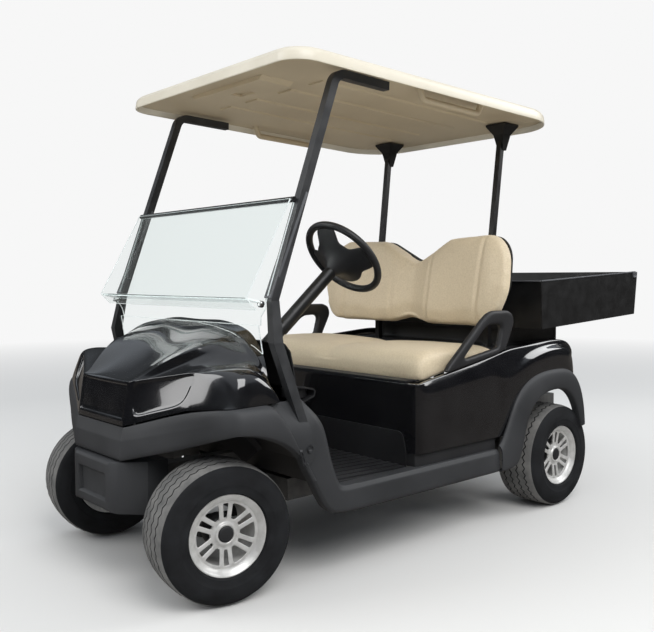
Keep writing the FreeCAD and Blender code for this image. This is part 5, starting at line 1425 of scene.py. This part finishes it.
def rim_model():
    """Cast rim with six pairs of spokes, a raised ring round its hub and a bright lip."""
    rows = []
    for line in range(-LAST_LINE, LAST_LINE + 1):
        row = []
        for place, (r, y, slot, window) in enumerate(RIM_FACE):
            turn = math.copysign(math.radians(rim_turn(abs(line), slot, window)), line)
            crown = 0.0014 if SLOT_LINE < abs(line) < WINDOW_LINE and WINDOW_FROM <= place <= WINDOW_TO else 0
            row.append(Vector((r * math.sin(turn), y + crown, r * math.cos(turn))))
        rows.append(row)
    disc = skin("rim_disc", rows)
    bpy.ops.mesh.select_mode(type="FACE")
    bpy.ops.mesh.select_all(action="DESELECT")
    shape = bmesh.from_edit_mesh(disc.data)
    for face in shape.faces:
        corners = [divmod(vert.index, len(RIM_FACE)) for vert in face.verts]
        lines = [abs(line - LAST_LINE) for line, place in corners]
        open_here = max(lines) <= SLOT_LINE or min(lines) >= WINDOW_LINE
        face.select_set(open_here and all(WINDOW_FROM <= place <= WINDOW_TO for line, place in corners))
    bmesh.update_edit_mesh(disc.data)
    bpy.ops.mesh.delete(type="FACE")
    turned(SPOKE_PAIRS, merge=2 * MERGE, dupli=True, use_auto_merge=False)
    bpy.ops.mesh.normals_make_consistent(inside=False)
    shape = bmesh.from_edit_mesh(disc.data)
    shape.normal_update()
    if sum(face.normal.y for face in shape.faces) < 0:
        bpy.ops.mesh.flip_normals()
    end()
    modifier(disc, "SOLIDIFY", "casting", thickness=0.010, offset=-1, edge_crease_outer=0.35,
             edge_crease_rim=0.0)
    subdivided(disc, 2)
    line = [Vector((0, across, radius)) for across, radius in BARREL]
    barrel = first_corner("rim_barrel", line[0])
    draw_line(line)
    turned(72)
    bpy.ops.mesh.normals_make_consistent(inside=False)
    end()
    walled(barrel, 0.003, 0)
    return smooth(painted(joined([disc, barrel], "rim_model"), "silver"), 45)


on_wheels(rim_model(), "cast_rim", "rim")


def wheel_cap():
    """Plain domed cap in the middle of a rim, and the dark hub behind it."""
    cap = primitive("cylinder", "wheel_cap", vertices=48, radius=0.0243, depth=0.006,
                    location=(0, 0.0668, 0), rotation=(math.radians(90), 0, 0))
    pick(lambda middle, normal: normal.y > 0.9, "FACE")
    stepped((0, 1, 0), (0.0022, 0.0014), (0.004, 0.0008))
    end()
    bevelled(cap, 0.0005, 2)
    hub = primitive("cylinder", "wheel_hub", vertices=40, radius=0.052, depth=0.052,
                    location=(0, 0.020, 0), rotation=(math.radians(90), 0, 0))
    pick(lambda middle, normal: normal.y > 0.9, "FACE")
    stepped((0, 1, 0), (0.016, 0.012))
    end()
    bevelled(hub, 0.002, 2)
    return painted(smooth(joined([cap, hub], "wheel_cap"), 35), "plastic")


on_wheels(wheel_cap(), "wheel_cap")


# Steering wheel: the way its column points, its middle's place, and its hub's section as (radius, up)
COLUMN_RUN = Vector((-math.cos(math.radians(40.3)), 0, math.sin(math.radians(40.3))))
WHEEL_MIDDLE = (151, 265, 1075)
HUB_SECTION = ((0.019, -0.088), (0.030, -0.070), (0.046, -0.050), (0.070, -0.036), (0.094, -0.027))
# Spokes of the steering wheel: the way each points, and half its width, in degrees
WHEEL_SPOKES = ((0, 20), (180, 28), (270, 24))
# How the cone ends where it runs into a spoke and where it doesn't, as (radius, up)
SPOKE_END = ((0.128, -0.014), (0.149, -0.002))
CONE_EDGE = ((0.098, -0.025), (0.100, -0.021))


def steering_wheel():
    """Grip ring and the broad cone of its hub, which runs out into three spokes."""
    grip = primitive("circle", "grip", vertices=20, radius=0.0135, location=(0.155, 0, 0),
                     rotation=(math.radians(90), 0, 0))
    turned(72, (0, 0, 1))
    bpy.ops.mesh.normals_make_consistent(inside=False)
    end()
    rows = []
    for turn in range(0, 360, 10):
        angle = math.radians(turn)
        away = min(min(abs(turn - way), 360 - abs(turn - way)) - half for way, half in WHEEL_SPOKES)
        rows.append([Vector((radius * math.cos(angle), radius * math.sin(angle), up))
                     for radius, up in HUB_SECTION + (SPOKE_END if away <= 0 else CONE_EDGE)])
    cone = skin("hub_cone", rows, ring=True)
    shape = bmesh.from_edit_mesh(cone.data)
    shape.normal_update()
    if sum(face.normal.z for face in shape.faces) > 0:
        bpy.ops.mesh.flip_normals()
    end()
    modifier(cone, "SOLIDIFY", "wall", thickness=0.008, offset=-1)
    subdivided(cone, 2)
    pad = primitive("cylinder", "hub_pad", vertices=40, radius=0.066, depth=0.016, location=(0, 0, -0.018))
    pick(lambda middle, normal: normal.z > 0.9, "FACE")
    stepped((0, 0, 1), (0.014, 0.006), (0.014, 0.003))
    end()
    wheel = joined([grip, cone, bevelled(pad, 0.002)], "steering_wheel_cover")
    turn = Vector((0, 0, 1)).rotation_difference(COLUMN_RUN).to_matrix().to_4x4()
    level = Matrix.Rotation(math.radians(90), 4, COLUMN_RUN)
    wheel.data.transform(Matrix.Translation(at(*WHEEL_MIDDLE)) @ level @ turn)
    return finished(smooth(wheel), "plastic", "steering_wheel", ["steering_wheel"])


steering_wheel()


# Line of the strip round the front corner and along the side, seen from the top
SILL_LINE = ((73, 0), (73, 400), (73, 538), (69, 554), (58, 561), (20, 563), (-150, 563), (-392, 563))


def sill_strips():
    """Dark strip between the gloss body and the floor, round the front corner and along each side."""
    lines = []
    for x, y in SILL_LINE:
        lines.append([(x, y, 318), (x, y - 1, 350), (x - 2, y - 4, 392)])
    strip = sheet("sill_strips", lines)
    faced(strip, at(-300, 0, 340))
    end()
    mirrored(strip)
    walled(strip, LINER_WALL)
    return finished(smooth(strip), "plastic", "chassis")


sill_strips()


# Place along the cart and height of the liners' upper edge, by the front axle
LINER_END = 812
LINER_TOP = 546


def fender_liners():
    """Dark liners from the fascia's lower edge up over the front of each wheel."""
    lines = []
    for line in FASCIA_LINES[3:10]:
        x, y, z = line[-1]
        lines.append([(x, y, z), (x - 0.35 * (x - LINER_END), y * 0.99, z + 0.6 * (LINER_TOP - z)),
                      (LINER_END, y * 0.98, LINER_TOP)])
    liner = sheet("fender_liners", lines)
    faced(liner, at(700, 0, 300))
    end()
    mirrored(liner)
    modifier(liner, "SOLIDIFY", "wall", thickness=LINER_WALL, offset=0)
    return finished(smooth(liner), "plastic", "chassis")


fender_liners()

# Section of a wheel housing: how far out, and its radius about the front axle, and where its sweep
# starts behind the top and how far it turns, in degrees
HOUSING_LINE = ((556, 316), (420, 320), (285, 318), (268, 303), (262, 240))
HOUSING_START, HOUSING_TURN = 2, 57


def wheel_housings():
    """Dark housing over and behind each front wheel, under the fender."""
    housings = []
    start = math.radians(HOUSING_START)
    for side in (1, -1):
        line = [at(FRONT_AXLE + radius * math.sin(start), side * y, AXLE_HEIGHT + radius * math.cos(start))
                for y, radius in HOUSING_LINE]
        housing = first_corner("wheel_housing", line[0])
        draw_line(line)
        pick_all()
        bpy.ops.mesh.spin(steps=18, angle=math.radians(HOUSING_TURN), center=at(FRONT_AXLE, 0, AXLE_HEIGHT),
                          axis=(0, 1, 0))
        pick_all()
        bpy.ops.mesh.normals_make_consistent(inside=False)
        end()
        housings.append(modifier(housing, "SOLIDIFY", "wall", thickness=LINER_WALL, offset=0))
    return finished(smooth(joined(housings, "wheel_housings")), "plastic", "chassis")


wheel_housings()

# Stage, light and camera
scene.view_settings.view_transform = "Standard"
BACKDROP = (0.93, 0.93, 0.93)
# Colour of the floor's painted reflection: the fixed glow that the gloss shows in place of the lit floor
PAINTED_FLOOR_REFLECTION = (0.115, 0.105, 0.095)
# How far from the cart the floor starts and ends to fade into the backdrop, in metres
FADE_FROM, FADE_TO = 4.0, 10.0
# Light from the surroundings by height, from straight down at 0 to straight up at 1: what lights the
# cart, and what its gloss shows
SKY_STRENGTH = 0.85
SKY = (
    (0.46, (0.30, 0.29, 0.28)), (0.50, (0.10, 0.105, 0.11)), (0.60, (0.16, 0.17, 0.18)),
    (0.68, (0.62, 0.67, 0.74)), (1.0, (0.95, 0.98, 1.0)),
)
MIRRORED_SKY = (
    (0.46, (0.10, 0.09, 0.08)), (0.50, (0.02, 0.021, 0.022)), (0.62, (0.035, 0.038, 0.04)),
    (0.72, (0.10, 0.11, 0.12)), (0.78, (0.46, 0.50, 0.55)), (1.0, (0.80, 0.85, 0.90)),
)
# Soft lamps: name, place, what each is aimed at, width in metres and power
LAMPS = (
    ("key_light", (1.6, 4.2, 4.6), (0, 0, 0.7), 3.4, 196),
    ("side_light", (5.0, -2.6, 3.4), (0.3, 0, 0.8), 3.0, 110),
    ("back_light", (-4.0, 2.5, 3.6), (-0.2, 0, 0.8), 2.5, 90),
)
# The camera's focal length and sensor in millimetres, its place in metres and its turn in degrees
FOCAL_LENGTH, SENSOR = 44.04, 36
CAMERA_PLACE = (2.4067, 2.4813, 0.9972)
CAMERA_TURN = (87.119, 0.2534, 138.552)


def plain_light(tree, kind, colour):
    """A shader that shines in one colour."""
    made = tree.nodes.new(kind)
    made.inputs["Color"].default_value = (*colour, 1)
    return made.outputs[0]


def blended(tree, factor, first, second):
    """A shader between two others."""
    blend = tree.nodes.new("ShaderNodeMixShader")
    tree.links.new(factor, blend.inputs["Fac"])
    tree.links.new(first, blend.inputs[1])
    tree.links.new(second, blend.inputs[2])
    return blend.outputs["Shader"]


def rays_only(tree, operation, first, second):
    """Where either of two kinds of ray, or one without the other, falls: 0 or 1."""
    rays = tree.nodes.new("ShaderNodeLightPath")
    made = tree.nodes.new("ShaderNodeMath")
    made.operation = operation
    made.use_clamp = True
    tree.links.new(rays.outputs[first], made.inputs[0])
    tree.links.new(rays.outputs[second], made.inputs[1])
    return made.outputs["Value"]


def pale_floor():
    """Pale floor that fades into the backdrop, and that the gloss shows as a painted reflection: a fixed dark
    glow in place of the lit floor.
    """
    floor = primitive("plane", "pale_floor", size=60)
    end()
    material, tree, shader = finish_of("pale_floor", (0.74, 0.73, 0.71), 0.8)
    place = tree.nodes.new("ShaderNodeTexCoord")
    reach = tree.nodes.new("ShaderNodeVectorMath")
    reach.operation = "LENGTH"
    tree.links.new(place.outputs["Object"], reach.inputs[0])
    far = span(tree, reach.outputs["Value"], 0, 1, FADE_FROM, FADE_TO)
    backdrop = plain_light(tree, "ShaderNodeEmission", BACKDROP)
    seen = blended(tree, far, shader.outputs["BSDF"], backdrop)
    # glossy rays see a painted reflection: the floor glows in one fixed dark colour instead of being lit
    mirrored_rays = rays_only(tree, "SUBTRACT", "Is Glossy Ray", "Is Transmission Ray")
    painted_reflection = plain_light(tree, "ShaderNodeEmission", PAINTED_FLOOR_REFLECTION)
    surface = blended(tree, mirrored_rays, seen, painted_reflection)
    tree.links.new(surface, tree.nodes["Material Output"].inputs["Surface"])
    floor.data.materials.append(material)


def sky_bands(tree, height, bands):
    """The sky's colour by height."""
    sky = tree.nodes.new("ShaderNodeValToRGB")
    stops = sky.color_ramp.elements
    for stop, (place, colour) in zip((stops[0], stops[1]), (bands[0], bands[-1])):
        stop.position = place
        stop.color = (*colour, 1)
    for place, colour in bands[1:-1]:
        stops.new(place).color = (*colour, 1)
    tree.links.new(height, sky.inputs["Fac"])
    return sky.outputs["Color"]


def surroundings():
    """Sky that lights the cart, another that its gloss shows, and a plain backdrop."""
    world = bpy.data.worlds.new("studio")
    scene.world = world
    world.use_nodes = True
    tree = world.node_tree
    light = tree.nodes["Background"]
    light.inputs["Strength"].default_value = SKY_STRENGTH
    way = tree.nodes.new("ShaderNodeTexCoord")
    parts = tree.nodes.new("ShaderNodeSeparateXYZ")
    tree.links.new(way.outputs["Generated"], parts.inputs["Vector"])
    height = span(tree, parts.outputs["Z"], 0, 1, -1, 1)
    rays = tree.nodes.new("ShaderNodeLightPath")
    choice = tree.nodes.new("ShaderNodeMix")
    choice.data_type = "RGBA"
    tree.links.new(rays.outputs["Is Glossy Ray"], choice.inputs["Factor"])
    tree.links.new(sky_bands(tree, height, SKY), choice.inputs["A"])
    tree.links.new(sky_bands(tree, height, MIRRORED_SKY), choice.inputs["B"])
    tree.links.new(choice.outputs["Result"], light.inputs["Color"])
    seen_rays = rays_only(tree, "MAXIMUM", "Is Camera Ray", "Is Transmission Ray")
    backdrop = plain_light(tree, "ShaderNodeBackground", BACKDROP)
    shown = blended(tree, seen_rays, light.outputs["Background"], backdrop)
    tree.links.new(shown, tree.nodes["World Output"].inputs["Surface"])


def lamps():
    """Soft lamps above, beside and behind the cart."""
    for name, place, aim, size, power in LAMPS:
        lamp = bpy.data.lights.new(name, "AREA")
        lamp.energy = power
        lamp.size = size
        thing = bpy.data.objects.new(name, lamp)
        scene.collection.objects.link(thing)
        thing.location = place
        thing.rotation_euler = (Vector(aim) - Vector(place)).to_track_quat("-Z", "Y").to_euler()


def viewpoint():
    """Camera at the photograph's place and angle."""
    lens = bpy.data.cameras.new("viewpoint")
    lens.lens = FOCAL_LENGTH
    lens.sensor_width = SENSOR
    lens.clip_end = 200
    camera = bpy.data.objects.new("viewpoint", lens)
    scene.collection.objects.link(camera)
    camera.location = CAMERA_PLACE
    camera.rotation_euler = Euler([math.radians(turn) for turn in CAMERA_TURN])
    scene.camera = camera


pale_floor()
surroundings()
lamps()
viewpoint()
